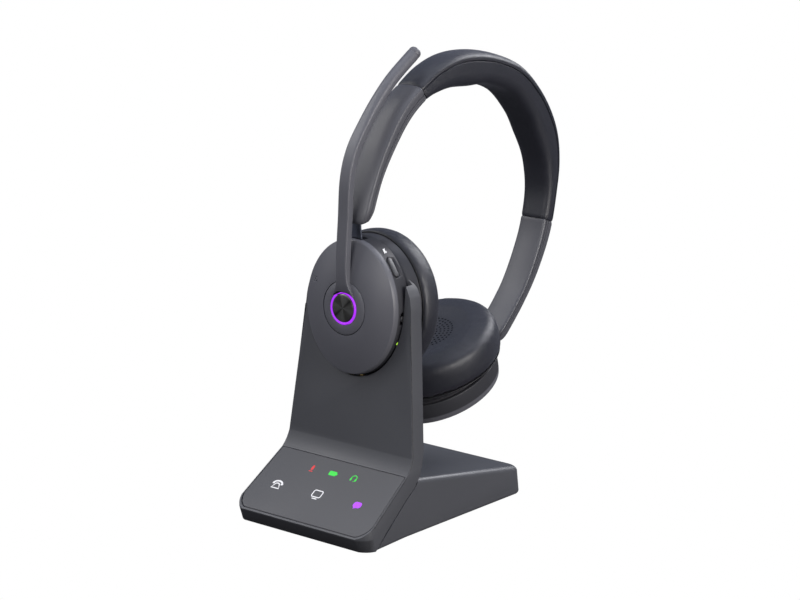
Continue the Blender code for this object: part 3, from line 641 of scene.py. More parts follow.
def edge_line(name, sign):
    """The thin dark seam just behind one edge of the plate's face, from the panel to the cradle."""
    face = [PANEL_FRONT + PANEL_ALONG * (9.0 + 3.0 * i) for i in range(10)]
    face += softened([PANEL_CREASE, BEND, UPRIGHT_TOP], 5.4, 20)[1:-1]
    top, foot = face[-1], Vector((-17.0 - 0.13889 * 30.0, 112.3))
    face += [top + (foot - top) * (i / 14) for i in range(1, 15)]

    def half_width(y, z):
        """Half the face's width: it narrows along the panel, past the bend and up the upright."""
        if z < 31.5:
            return 44.0 + (-32.8 - y) * 0.0748
        return 44.0 + (z - 31.5) * (43.4 - 44.0) / 10.8 if z < 42.3 else 43.4 - (z - 42.3) * 0.0943

    def spot(turn, ring):
        way, here = heading(face, ring), face[ring]
        point = here + Vector((way.y, -way.x)) * (0.95 + 0.18 * cos(2 * pi * turn))
        return Vector((sign * (half_width(here.x, here.y) + 0.14 * sin(2 * pi * turn)), point.x, point.y))

    return skin(name, 8, len(face), spot)


def side_slab(name, outline, half=48.0):
    """A (y, z) outline extruded across the stand."""
    return slab(name, outline, lambda y, z: Vector((-half, y, z)), (2 * half, 0, 0))


def cradle_cutter():
    clear = 0.6
    rows = [(RIM_A + clear, RIM_B + clear, 8.0), (RIM_A + clear, RIM_B + clear, RIM_BACK - clear),
            (NECK_A + clear, NECK_B + clear, RIM_BACK - clear - 0.02),
            (NECK_A + clear, NECK_B + clear, NECK_FRONT - 0.2),
            (FLARE_A + clear + 0.6, FLARE_B + clear + 0.6, FLARE_BACK),
            (FLARE_A + clear + 1.4, FLARE_B + clear + 1.4, -22.0)]
    low = 96

    def spot(turn, ring):
        a, b, z = rows[ring]
        step = round(turn * (low + 3))
        if step > low:
            return FRONT_CUP @ Vector((a if step == low + 1 else -a, 60.0, z))
        angle = pi + pi * step / low
        return FRONT_CUP @ Vector((a * cos(angle), b * sin(angle), z))

    return skin("cradle_cutter", low + 3, len(rows), spot)


class HEADSET_OT_stand(bpy.types.Operator):
    """Bent front plate with its cradle, the touch panel and the wedge-shaped base"""
    bl_idname = "headset.stand"
    bl_label = "Stand"

    def execute(self, context):
        looks = materials()
        edge = context.scene.headset_sizes.edge / MM
        self.plate(looks, edge)
        self.panel(looks)
        self.base(looks, edge)
        return {"FINISHED"}

    def plate(self, looks, edge):
        lead = PANEL_FRONT - PANEL_LEAD
        top_back = UPRIGHT_TOP + Vector((PLATE_DEPTH, 0.0))
        face = softened([PANEL_CREASE, BEND, UPRIGHT_TOP], 5.4, 20)
        under = softened([top_back, (-17.9, 36.4), (-25.0, 26.9), (-59.6, BODY_BOTTOM)], [0, 9.0, 0, 0], 10)
        outline = [(BASE_FRONT - 1, BODY_BOTTOM), (BASE_FRONT - 1, lead.y), lead] + face + under
        plate = side_slab("front_plate_finished", outline)
        side = softened(FACE_SIDE, [0, 0, 2.0, 2.0, 3.0, 6.0, 4.0, 4.0, 3.0, 0], 8)
        shape = side + [Vector((-p.x, p.y)) for p in reversed(side)]
        outline_cutter = slab("outline_cutter", shape, lambda x, z: Vector((x, -80.0, z)), (0, 100.0, 0))
        combine(plate, outline_cutter, "INTERSECT")
        combine(plate, plan_cutter(0.0), "INTERSECT")
        above, sunk = PANEL_INWARD * -2.0, PANEL_INWARD * 1.3
        recess = side_slab("panel_recess", [lead + above, PANEL_CREASE + above, PANEL_CREASE + sunk,
                                            PANEL_FRONT + sunk - PANEL_LEAD])
        combine(recess, plan_cutter(0.6), "INTERSECT")
        combine(plate, recess)
        combine(plate, cradle_cutter())
        combine(plate, block("contact_slot", (-9.0, -22.2, 72.0), (9.0, -16.8, 90.0)))
        ease_edges(plate, edge * 0.7, 4, 28.0, 0.4)
        wear(plate, looks["plate"], "stand", "stand_plastic", ("front_plate",))
        for sign, side in ((-1, "left"), (1, "right")):
            wear(edge_line("face_seam_" + side, sign), looks["black"], "stand", "black_plastic")

    def panel(self, looks):
        back = PANEL_ALONG * 0.25
        sheet = side_slab("touch_panel_finished", [
            PANEL_FRONT - PANEL_LEAD, PANEL_CREASE - back, PANEL_CREASE + PANEL_INWARD - back,
            PANEL_FRONT + PANEL_INWARD - PANEL_LEAD])
        combine(sheet, plan_cutter(0.95), "INTERSECT")
        ease_edges(sheet, 0.18, 3, 30.0)
        wear(sheet, looks["panel"], "stand", "panel_plastic", ("touch_panel",))

    def base(self, looks, edge):
        housing = rounded_base(edge * 2.0, edge * 3.2)
        nose = [(-90.0, -6.0), (-68.6, -6.0), (-59.1, BODY_BOTTOM), (-24.4, 27.0), (-21.3, BASE_TOP_FRONT),
                (-12.0, BASE_TOP_FRONT + 10.4), (-90.0, BASE_TOP_FRONT + 10.4)]
        combine(housing, side_slab("nose_cutter", nose))
        cavity = [(-51.0, 0.0), (-51.0, 3.0), (-24.0, 22.4), (-20.0, 26.6), (63.5, 13.4), (63.5, 0.0)]
        combine(housing, side_slab("cavity_cutter", cavity, BASE_HALF_WIDTH - 3.4))
        for middle in (-16.0, 16.0):
            combine(housing, skin("port_cutter", 32, 2, lambda turn, ring: self.port(middle, turn, ring)))
        smooth(housing)
        wear(housing, looks["base"], "stand", "stand_plastic", ("base_housing",))
        for node, look, slot, width in (("floor_plate", "black", "black_plastic", 0.3),
                                        ("rubber_pad", "rubber", "base_rubber", 0.2)):
            wear(rounded_copy(node + "_finished", node, width), looks[look], "stand", slot, (node,))
        finish_nodes(looks, usb_port_left="steel", usb_port_right="steel", contact_block="black",
                     charge_pin_left="gold", charge_pin_right="gold", stand_board="board",
                     ballast_weight="ballast")

    def port(self, middle, turn, ring):
        """A point of a port's mouth: an oval with flattened long sides, cut through the back wall."""
        c, s = cos(2 * pi * turn), sin(2 * pi * turn)
        return Vector((middle + 4.9 * c / max(0.55, abs(c) ** 0.7 + 0.35), 60.0 + ring * 12, 8.7 + 2.1 * s))


# ---------------------------------------------------------------- symbols

def stroke(points, width):
    """An open line of constant width as a closed outline."""
    points = [Vector(p) for p in points]
    left, right = [], []
    for i, point in enumerate(points):
        along = heading(points, i)
        side = Vector((-along.y, along.x)) * width / 2
        left.append(point - side)
        right.append(point + side)
    return left + right[::-1]


def arc(cx, cy, rx, ry, start, end, steps=24):
    turns = [radians(start + (end - start) * i / steps) for i in range(steps + 1)]
    return [Vector((cx + rx * cos(t), cy + ry * sin(t))) for t in turns]


def boxy(cx, cy, half_x, half_y, corner=0.4):
    return softened_loop([(cx - half_x, cy - half_y), (cx + half_x, cy - half_y), (cx + half_x, cy + half_y),
                          (cx - half_x, cy + half_y)], corner, 4)


def glyph(name, outlines, place):
    """Thin lit shapes printed on a surface, joined into one piece."""
    made = [slab(name, outline, lambda u, v: place @ Vector((u, v, 0.02)),
                 place.to_3x3() @ Vector((0, 0, 0.05))) for outline in outlines]
    only(made[0])
    for obj in made:
        obj.select_set(True)
    if len(made) > 1:
        bpy.ops.object.join()
    made[0].name = made[0].data.name = name
    return made[0]


SCREEN_EDGE = boxy(0, 0.4, 3.0, 2.2, 0.8)
GLYPHS = {
    "phone": [stroke(arc(0, 0.2, 3.1, 2.2, 12, 168), 1.0), boxy(-2.9, 0.6, 0.7, 0.6, 0.25),
              boxy(2.9, 0.6, 0.7, 0.6, 0.25),
              stroke([(0.0, 0.9), (-1.2, 0.5), (-2.7, -2.5), (2.7, -2.5), (1.2, 0.5), (0.0, 0.9)], 0.75)],
    "screen": [stroke(SCREEN_EDGE + SCREEN_EDGE[:1], 0.6), boxy(0, -2.9, 1.7, 0.3, 0.2)],
    "chat": [boxy(0.0, 0.1, 2.6, 1.9, 1.2), [(-1.4, -1.6), (0.6, -1.6), (-1.4, -2.7)]],
    "mute": [boxy(0.0, 0.4, 0.8, 1.7, 0.8), boxy(0.0, -2.0, 1.3, 0.25, 0.2)],
    "charge": [boxy(-0.3, 0.0, 2.5, 1.45, 0.5), boxy(2.55, 0.0, 0.35, 0.6, 0.15)],
    "headset": [stroke(arc(0, 0, 1.7, 1.8, -20, 200), 0.5), boxy(-1.6, -1.0, 0.5, 0.8, 0.25),
                boxy(1.6, -1.0, 0.5, 0.8, 0.25), stroke(arc(0.2, -0.6, 1.5, 1.6, 280, 340), 0.3)],
    "rim": [boxy(0.0, 0.5, 0.65, 1.4, 0.6), stroke(arc(0, 0.3, 1.3, 1.6, 190, 350), 0.35),
            stroke([(-1.6, -1.9), (1.6, 2.3)], 0.4)]}


class HEADSET_OT_symbols(bpy.types.Operator):
    """Lit symbols on the touch panel and the mute symbol on the cup's rim"""
    bl_idname = "headset.symbols"
    bl_label = "Symbols"

    def execute(self, context):
        looks = materials()
        rise = Vector((0.0, PANEL_ALONG.x, PANEL_ALONG.y))
        for name, x, up, look, slot in (
                ("phone", -29.0, 20.1, "white", "status_lamp"), ("screen", -0.7, 20.4, "white", "status_lamp"),
                ("chat", 27.4, 20.5, "ring", "ring_light"), ("mute", -15.0, 35.5, "red", "status_lamp"),
                ("charge", -0.3, 35.5, "green", "status_lamp"),
                ("headset", 14.1, 35.9, "green", "status_lamp")):
            spot = Vector((x, *PANEL_FRONT)) + rise * up
            place = frame_of(spot, X, rise, Vector((0, -rise.z, rise.y)))
            wear(glyph(name + "_symbol", GLYPHS[name], place), looks[look], "stand", slot)
        rim = rim_place(57.0, -6.8) @ Matrix.Rotation(radians(-90), 4, "Z") @ Matrix.Scale(0.85, 4)
        wear(glyph("rim_symbol", GLYPHS["rim"], rim), looks["white"], "front_cup", "status_lamp")
        return {"FINISHED"}


# ---------------------------------------------------------------- ear cups

def shell_rows(bore):
    """Profile of a cup's shell as (a, b, z): a shallow dome, a soft edge, the rim and the inner wall."""
    dome = []
    for t in [i / 24 for i in range(25)]:
        dome.append(Vector((bore + (CUP_A - bore) * t, bore + (CUP_B - bore) * t, CUP_DOME * (1 - t ** 1.6))))
    rim = [dome[-1], (RIM_A - 0.1, RIM_B - 0.7, -3.6), (RIM_A, RIM_B, RIM_BACK),
           (RIM_A - 1.8, RIM_B - 1.8, RIM_BACK), (RIM_A - 1.8, RIM_B - 2.2, -2.4),
           (CUP_A - 4.5, CUP_B - 4.5, -0.9), (bore + 4.0, bore + 5.0, 2.2), (bore, bore, 2.4)]
    rounded = softened([dome[-2]] + rim, [0, 0.45, 3.0, 0.5, 0.3, 0, 0, 0, 0], 5)
    return dome[:-1] + rounded[1:]


def rim_place(angle, z):
    """A place on the rim: x along it, y outwards along the cup's axis, z straight out of the rim."""
    turn = radians(angle)
    spot = Vector((RIM_A * cos(turn), RIM_B * sin(turn), z))
    out = Vector((cos(turn) / RIM_A, sin(turn) / RIM_B, 0)).normalized()
    along = Vector((-out.y, out.x, 0))
    return FRONT_CUP @ frame_of(spot, along, Z, Vector((along.y, -along.x, 0)))


def pill(name, length, width, low, high, place, around=48, edge=0.0):
    """A stadium-shaped block; edge rounds its top."""
    straight = (length - width) / 2
    rows = [(0.0, low), (0.0, high)]
    if edge:
        rows = [(0.0, low)] + [(edge * (1 - cos(t * pi / 2)), high - edge + edge * sin(t * pi / 2))
                               for t in (0.0, 0.33, 0.66, 1.0)]

    def spot(turn, ring):
        inset, z = rows[ring]
        angle = 2 * pi * turn
        radius = width / 2 - inset
        side = straight if cos(angle) > 1e-6 else -straight if cos(angle) < -1e-6 else 0.0
        return place @ Vector((side + radius * cos(angle), radius * sin(angle), z))

    return skin(name, around, len(rows), spot)


def side_property(description):
    return bpy.props.EnumProperty(name="Side", description=description, default="front", items=[
        ("front", "Front", "The docked cup"), ("back", "Back", "The free cup")])


BUTTON_SPOT, SWITCH_SPOT, LIGHT_SPOT, MICROPHONE_SPOT = (40.0, -6.0), (-4.0, -6.2), (-26.0, -6.9), (-62.0, -5.0)


class HEADSET_OT_cup(bpy.types.Operator):
    """Shell, neck and hub of one ear cup"""
    bl_idname = "headset.cup"
    bl_label = "Ear cup"
    side: side_property("Which cup to make")

    def execute(self, context):
        looks, place, body = materials(), CUPS[self.side], self.side + "_cup"
        shell = oval_stack(self.side + "_shell_finished", shell_rows(HUB_RADIUS + 0.3), place, 160, True, 50.0)
        combine(shell, block("slot_cutter", (-5.0, 30.0, -7.6), (5.0, 45.0, -2.2), place))
        if self.side == "front":
            self.rim_openings(shell)
        wear(shell, looks[body], body, "cup_plastic", (body + "_shell",))
        neck_rows = softened([(NECK_A - 0.4, NECK_B - 0.8, -6.8), (NECK_A, NECK_B, RIM_BACK - 0.4),
                              (NECK_A, NECK_B, NECK_FRONT), (FLARE_A, FLARE_B, FLARE_BACK),
                              (FLARE_A - 1.6, FLARE_B - 1.6, FLARE_BACK),
                              (NECK_A - 2.0, NECK_B - 2.0, NECK_FRONT), (NECK_A - 2.0, NECK_B - 2.0, -6.8)],
                             [0, 0, 3.0, 0.6, 0.3, 0, 0], 6)
        neck = oval_stack(self.side + "_neck_finished", neck_rows, place, 128, True, 50.0)
        combine(neck, block("neck_cutter", (-8.2, 20.0, -8.2), (8.2, 45.0, 0.0), place))
        wear(neck, looks["neck"], body, "band_plastic", (self.side + "_neck_housing",))
        insides = {"baffle": "black", "driver": "black", "driver_magnet": "steel", "hinge_block": "black",
                   "hinge_pin": "steel", "board": "board"}
        finish_nodes(looks, **{self.side + "_" + node: look for node, look in insides.items()})
        if self.side == "front":
            self.controls(looks)
        else:
            cap = turned("back_hub_cap_finished", softened(
                [(0.0, CUP_DOME + 0.15), (HUB_RADIUS, CUP_DOME + 0.05), (HUB_RADIUS, 2.9), (0.0, 2.9)],
                [0, 0.35, 0.2, 0]), place)
            wear(cap, looks["cup"], body, "cup_plastic", ("back_hub_cap",))
        return {"FINISHED"}

    def rim_openings(self, shell):
        """Cut the button's and switch's windows, the light's hole and the microphone holes."""
        for name, length, width, low, spot, around in (
                ("button_window", 11.6, 3.8, -3.0, BUTTON_SPOT, 48),
                ("switch_window", 7.0, 3.2, -3.0, SWITCH_SPOT, 48),
                ("light_window", 2.0, 1.99, -3.0, LIGHT_SPOT, 24),
                ("bottom_microphone", 0.9, 0.89, -1.2, MICROPHONE_SPOT, 16)):
            combine(shell, pill(name, length, width, low, 3.0, rim_place(*spot), around))
        for x in (-4.0, 4.0):
            combine(shell, block("contact_cutter", (x - 1.3, -40.0, -8.6), (x + 1.3, -33.0, -6.2), FRONT_CUP))
        for x, y in ((0, 0), (-0.95, 1.05), (0.95, 1.05), (-0.95, -1.05), (0.95, -1.05)):
            place = FRONT_CUP @ Matrix.Translation((-22.6 + x, 12.0 + y, 1.6))
            combine(shell, pill("face_microphone", 0.75, 0.74, -1.4, 3.0, place, 16))

    def controls(self, looks):
        for node, size, spot, around, edge, look, body, slot in (
                ("mute_button", (11.0, 3.2, -2.0, 0.35), BUTTON_SPOT, 64, 0.5, "rim", "mute_button",
                 "cup_plastic"),
                ("power_switch", (3.2, 2.6, -2.0, 0.2), SWITCH_SPOT, 48, 0.4, "black", "power_switch",
                 "cup_plastic"),
                (None, (6.8, 3.0, -1.9, -1.5), SWITCH_SPOT, 48, 0.0, "black", "front_cup", "black_plastic"),
                ("status_light", (1.6, 1.59, -1.5, 0.15), LIGHT_SPOT, 32, 0.3, "status", "front_cup",
                 "status_lamp")):
            name = node + "_finished" if node else "power_switch_well"
            piece = pill(name, *size, rim_place(*spot), around, edge)
            wear(piece, looks[look], body, slot, (node,) if node else ())
        finish_nodes(looks, battery_cell="foil", cup_contact_left="gold", cup_contact_right="gold")


def simulate(obj, cap):
    """Swell a pad with cloth pressure, hold each point within cap of where it began, and keep the result."""
    start = [vert.co.copy() for vert in obj.data.vertices]
    only(obj)
    cloth = obj.modifiers.new("swell", "CLOTH")
    settings = cloth.settings
    settings.use_pressure = True
    settings.uniform_pressure_force = 4.0
    settings.effector_weights.gravity = 0.0
    settings.quality = 4
    settings.tension_stiffness = settings.compression_stiffness = 25.0
    cloth.collision_settings.use_collision = False
    scene = bpy.context.scene
    for step in range(1, 21):
        scene.frame_set(step)
    apply_modifier(obj, cloth)
    scene.frame_set(1)
    for vert, origin in zip(obj.data.vertices, start):
        shift = vert.co - origin
        if shift.length > cap:
            vert.co = origin + shift.normalized() * cap


class HEADSET_OT_cushion(bpy.types.Operator):
    """Leather cushion of one ear cup, swollen by its foam"""
    bl_idname = "headset.cushion"
    bl_label = "Ear cushion"
    side: side_property("Which cushion to make")

    def execute(self, context):
        looks, sizes = materials(), context.scene.headset_sizes
        place, face = CUPS[self.side], PAD_FACES[self.side]
        a, b = PAD_A, PAD_B
        rows = softened([(16.6, 16.6, -22.0), (16.6, 16.6, PAD_FRONT), (a - 0.9, b - 0.9, PAD_FRONT),
                         (a, b, PAD_FRONT - 2.6), (a + 0.1, b + 0.1, face + 6.0),
                         (a - 1.5, b - 1.5, face + 1.9), (a - 6.0, b - 6.0, face - 0.2),
                         (a - 13.0, b - 13.0, face + 0.6), (16.0, 17.0, face + 2.2), (3.0, 3.2, face + 2.2)],
                        [0, 0.4, 1.2, 2.0, 4.0, 4.0, 5.0, 5.0, 6.0, 0], 6)
        cushion = oval_stack(self.side + "_cushion_finished", rows, place, 120, angle=60.0)
        remesh = cushion.modifiers.new("even", "REMESH")
        remesh.mode = "VOXEL"
        remesh.voxel_size = sizes.voxel
        apply_modifier(cushion, remesh)
        simulate(cushion, sizes.swell)
        for kind, settings in (("SMOOTH", {"factor": 0.5, "iterations": 3}),
                               ("SUBSURF", {"levels": 1, "render_levels": 1})):
            modifier = cushion.modifiers.new("soft", kind)
            for key, value in settings.items():
                setattr(modifier, key, value)
            apply_modifier(cushion, modifier)
        smooth(cushion, 60.0)
        wear(cushion, looks[self.side + "_leather"], self.side + "_cup", "cushion_leather",
             (self.side + "_cushion",))
        bead = [(PAD_A - 1.6 + 0.42 * cos(t), PAD_B - 1.6 + 0.42 * cos(t), PAD_FRONT + 0.24 + 0.2 * sin(t))
                for t in [2 * pi * i / 10 for i in range(10)]]
        seam = oval_stack(self.side + "_cushion_seam", bead, place, 128, ring_closed=True)
        wear(seam, looks["black"], self.side + "_cup", "black_plastic")
        return {"FINISHED"}


# ---------------------------------------------------------------- boom and hub

def catmull(p0, p1, p2, p3, t):
    p0, p1, p2, p3 = Vector(p0), Vector(p1), Vector(p2), Vector(p3)
    return 0.5 * (2 * p1 + (p2 - p0) * t + (2 * p0 - 5 * p1 + 4 * p2 - p3) * t * t
                  + (3 * p1 - p0 - 3 * p2 + p3) * t ** 3)


def smooth_path(points, steps):
    padded = [points[0]] + list(points) + [points[-1]]
    made = [catmull(*padded[span:span + 4], i / steps) for span in range(len(points) - 1) for i in range(steps)]
    return made + [Vector(points[-1])]


class HEADSET_OT_boom(bpy.types.Operator):
    """Microphone boom with its hub, light ring and call button"""
    bl_idname = "headset.boom"
    bl_label = "Boom"

    def execute(self, context):
        looks, top = materials(), CUP_DOME
        for node, profile, corners, closed, look, body, slot in (
                ("boom_hub", [(9.0, 3.2), (9.0, top + 0.75), (HUB_RADIUS, top + 0.1), (HUB_RADIUS, 2.9),
                              (12.5, 2.1), (11.0, 2.1), (11.0, -0.9), (9.0, -0.9)],
                 [0, 0.25, 0.4, 0.2, 0, 0, 0, 0], True, "cup", "boom", "cup_plastic"),
                ("light_ring", [(7.65, 3.5), (7.65, top + 1.05), (8.75, top + 1.05), (8.75, 3.5)],
                 [0, 0.3, 0.3, 0], True, "ring", "boom", "ring_light"),
                ("call_button", [(0.0, 1.8), (7.5, 1.8), (7.5, top + 1.05), (6.7, top + 1.2),
                                 (0.0, top + 1.25)],
                 [0, 0.2, 0.35, 0.3, 0], False, "spun", "call_button", "button_metal")):
            piece = turned(node + "_finished", softened(profile, corners), FRONT_CUP, 128, closed)
            wear(piece, looks[look], body, slot, (node,))
        self.arm(looks)
        return {"FINISHED"}

    def arm(self, looks):
        points = smooth_path(BOOM_PATH, 12)
        last = len(points) - 1
        sides = 64

        def spot(turn, ring):
            along = heading(points, ring)
            share = eased(max(0.0, min(1.0, (ring / last - 0.45) / 0.45)))
            root = max(0.0, 1 - ring / 20)
            half_x = BOOM_HALF_WIDTH + (BOOM_TIP_RADIUS - BOOM_HALF_WIDTH) * share + 3.6 * root ** 3
            half_d = BOOM_HALF_DEPTH + (BOOM_TIP_RADIUS - BOOM_HALF_DEPTH) * share - 1.7 * root ** 2
            power = 0.24 + 0.76 * share
            angle = 2 * pi * (turn + 0.5 / sides)
            c, s = cos(angle), sin(angle)
            x = half_x * abs(c) ** power * (1 if c > 0 else -1)
            d = half_d * abs(s) ** power * (1 if s > 0 else -1)
            flat = points[ring] + Vector((-along.y, along.x)) * d
            if ring < 8:   # the root follows the light ring's edge
                flat = flat - Vector((9.4 - sqrt(max(0.0, 88.4 - x * x)), 0)) * (1 - ring / 8)
            return FRONT_CUP @ Vector((x, flat.x, flat.y))

        arm = skin("boom_arm_finished", sides, len(points), spot, angle=40.0)
        wear(arm, looks["boom"], "boom", "cup_plastic", ("boom_arm",))
        along = (points[-1] - points[-2]).normalized()
        tip = FRONT_CUP @ frame_of(Vector((0, *points[-1])), X, Vector((0, -along.y, along.x)),
                                   Vector((0, *along)))
        cap = turned("microphone_cap_finished", softened(
            [(0.0, 0.15), (BOOM_TIP_RADIUS - 0.1, 0.15), (BOOM_TIP_RADIUS, 3.0), (2.6, 3.4), (0.0, 3.4)],
            [0, 0.2, 1.0, 0.5, 0]), tip, 48)
        for turn in range(5):
            angle = 2 * pi * turn / 5
            place = tip @ Matrix.Translation((1.5 * cos(angle), 1.5 * sin(angle), 3.4))
            combine(cap, pill("tip_hole", 0.62, 0.61, -0.7, 2.0, place, 12))
        wear(cap, looks["boom"], "boom", "cup_plastic", ("microphone_cap",))


# ---------------------------------------------------------------- headband

def half_outline(points, place):
    mirrored = [(-points[1][0], points[1][1])] + list(points) + [points[-1]]
    span = min(int(place), len(points) - 2)
    return catmull(*mirrored[span:span + 4], place - span)


def band_sample(place):
    sign = -1.0 if place < 0 else 1.0
    inner, outer = half_outline(BAND_INNER, abs(place)), half_outline(BAND_OUTER, abs(place))
    lean = BAND_LEAN * sin(pi * max(-1.0, min(1.0, place / 6)))
    return Vector((sign * inner.x, inner.y + lean)), Vector((sign * outer.x, outer.y + lean))


def band_width(place):
    """Half the band's width and the height of its crown."""
    blend = eased(max(0.0, 1 - abs(place) / 6.5))
    return (BAND_EDGE_HALF + (BAND_TOP_HALF - BAND_EDGE_HALF) * blend,
            BAND_CROWN_EDGE + (BAND_CROWN_TOP - BAND_CROWN_EDGE) * blend)


def band_piece(name, start, end, section, rings=90, tuck=0.0, round_end=False):
    """Skin a section along the headband; tuck pulls its ends in at a seam, round_end closes the far end."""
    around = len(section(*band_width(start)))

    def spot(turn, ring):
        share = ring / (rings - 1)
        place = start + (end - start) * share
        inner, outer = band_sample(place)
        half, crown = band_width(place)
        thick = (outer - inner).length
        near = min(ring, rings - 1 - ring)
        pull = tuck * (1 - near / 2) ** 2 if near < 2 else 0.0
        x, depth, lift = section(half, crown)[round(turn * around) % around]
        middle = thick * 0.5
        squeeze = 1.0
        left = (1 - share) * (rings - 1) / 10
        if round_end and left < 1:
            squeeze = 0.62 + 0.38 * sqrt(max(0.0, 1 - (1 - left) ** 2))
        x = x * squeeze * (1 - pull / half)
        up = middle + (depth * thick + lift - middle) * squeeze * (1 - pull / middle)
        flat = inner + (outer - inner).normalized() * up
        return BAND @ Vector((x, flat.x, flat.y))

    return skin(name, around, rings, spot, angle=40.0)


def crown_arc(half, crown, steps=24, reach=84):
    return [Vector((half * sin(t), 1.0, crown * cos(t)))
            for t in [radians(-reach + 2 * reach * i / steps) for i in range(steps + 1)]]


def arm_shell_section(half, crown):
    """Crowned channel with a shadow line low on each side."""
    wall, notch = 1.5, 0.3
    left = [(-half, 0.34, 0), (-half, 0.52, 0), (notch - half, 0.53, 0), (notch - half, 0.56, 0),
            (-half, 0.57, 0), (-half, 0.80, 0)]
    right = [(-x, depth, lift) for x, depth, lift in reversed(left)]
    inside = [(half - wall, 0.34, 0), (half - wall, 0.98, 0), (wall - half, 0.98, 0), (wall - half, 0.34, 0)]
    return [Vector(p) for p in left] + crown_arc(half, crown) + [Vector(p) for p in right + inside]


def liner_section(half, crown):
    """The arm's inner half, with round corners on the side that faces the head."""
    thick = 5.8
    outline = softened_loop([(-half, 0.31 * thick), (-half, 0.0), (half, 0.0), (half, 0.31 * thick)],
                            [0.2, 1.3, 1.3, 0.2], 6)
    return [Vector((p.x, p.y / thick, 0)) for p in outline]


def skin_section(half, crown):
    return [Vector((0.5 - half, 0.915, 0)), Vector((-half, 0.935, 0))] + crown_arc(half, crown, 32, 86) + \
        [Vector((half, 0.935, 0)), Vector((half - 0.5, 0.915, 0))]


def pad_section(half, crown):
    """Soft D shape: round sides that run into a gently crowned inner face."""
    arc = []
    for i in range(41):
        angle = pi * (0.04 + 0.92 * i / 40)
        c, s = cos(angle), sin(angle)
        arc.append(Vector(((half + 0.55) * (1 if c > 0 else -1) * abs(c) ** 0.5, 0.62 - 0.74 * s ** 0.62, 0)))
    return [Vector((half - 0.7, 0.905, 0)), Vector((half + 0.1, 0.86, 0))] + arc + \
        [Vector((-half - 0.1, 0.86, 0)), Vector((0.7 - half, 0.905, 0)), Vector((-7.0, 0.88, 0)),
         Vector((-7.0, 0.70, 0)), Vector((7.0, 0.70, 0)), Vector((7.0, 0.88, 0))]


class HEADSET_OT_arms(bpy.types.Operator):
    """Plastic arms at both ends of the headband and the steel sliders in them"""
    bl_idname = "headset.arms"
    bl_label = "Arms and sliders"

    def execute(self, context):
        looks = materials()
        for side, start, end in (("front", -FRONT_SEAM - 0.01, -FRONT_END),
                                 ("back", BACK_SEAM + 0.01, BACK_END)):
            for node, section in (("arm_shell_", arm_shell_section), ("arm_liner_", liner_section)):
                piece = band_piece(node + side + "_finished", start, end, section, 100, 0.25, True)
                wear(piece, looks["arm"], "headband", "band_plastic", (node + side,))
        self.slider("front", FRONT_SLIDER, looks)
        self.slider("back", BACK_SLIDER, looks)
        return {"FINISHED"}

    def slider(self, side, path, looks):
        points = smooth_path(path, 14)[7:]
        wide, deep = SLIDER_HALF_WIDTH, SLIDER_DEPTH / 2
        outline = softened_loop([(-wide, -deep), (wide, -deep), (wide, deep), (-wide, deep)], 0.35, 3)

        def spot(turn, ring):
            along = heading(points, ring)
            across = outline[round(turn * len(outline)) % len(outline)]
            flat = points[ring] + Vector((along.y, -along.x)) * across.y
            return BAND @ Vector((across.x, flat.x, flat.y))

        node = side + "_slider"
        strip = skin(node + "_finished", len(outline), len(points), spot, angle=40.0)
        wear(strip, looks["slider"], node, "slider_steel", (node,))
        hinge = CUPS[side] @ frame_of(Vector((0, HINGE_Y, HINGE_Z)), Y, Z, X)
        knuckle = turned(side + "_knuckle_finished", softened(
            [(1.3, -4.1), (2.5, -4.1), (2.5, 4.1), (1.3, 4.1)], [0, 0.3, 0.3, 0]), hinge, 48, True)
        wear(knuckle, looks["slider"], node, "slider_steel")


class HEADSET_OT_padding(bpy.types.Operator):
    """Leather skin and padding over the crown of the headband"""
    bl_idname = "headset.padding"
    bl_label = "Headband padding"

    def execute(self, context):
        looks = materials()
        for node, section in (("headband_skin", skin_section), ("headband_pad", pad_section)):
            piece = band_piece(node + "_finished", -FRONT_SEAM + 0.01, BACK_SEAM - 0.01, section, 160, 0.3)
            wear(piece, looks["leather"], "headband", "cushion_leather", (node,))
        finish_nodes(looks, headband_spring="steel")
        return {"FINISHED"}


# ---------------------------------------------------------------- stage

def camera_only(tree, seen, hidden, kind):
    """Mix two shaders so that the camera sees one and the object is lit by the other."""
    path = tree.nodes.new("ShaderNodeLightPath")
    mix = tree.nodes.new("ShaderNodeMixShader")
    tree.links.new(path.outputs["Is Camera Ray"], mix.inputs[0])
    tree.links.new(hidden.outputs[0], mix.inputs[1])
    tree.links.new(seen.outputs[0], mix.inputs[2])
    output = next(node for node in tree.nodes if node.bl_idname == kind)
    tree.links.new(mix.outputs[0], output.inputs["Surface"])


def backdrop_paint():
    """White to the camera, dark to the object, so undersides stay dark."""
    paint = Finish("floor_paint", (0.03, 0.03, 0.035), 0.7)
    paint.set("Base Color", paint.mix(paint.noise(3.0), (0.028, 0.028, 0.033), (0.032, 0.032, 0.037)))
    white = paint.tree.nodes.new("ShaderNodeEmission")
    white.inputs["Color"].default_value = (1.0, 1.0, 1.0, 1.0)
    camera_only(paint.tree, white, paint.shader, "ShaderNodeOutputMaterial")
    return paint.material


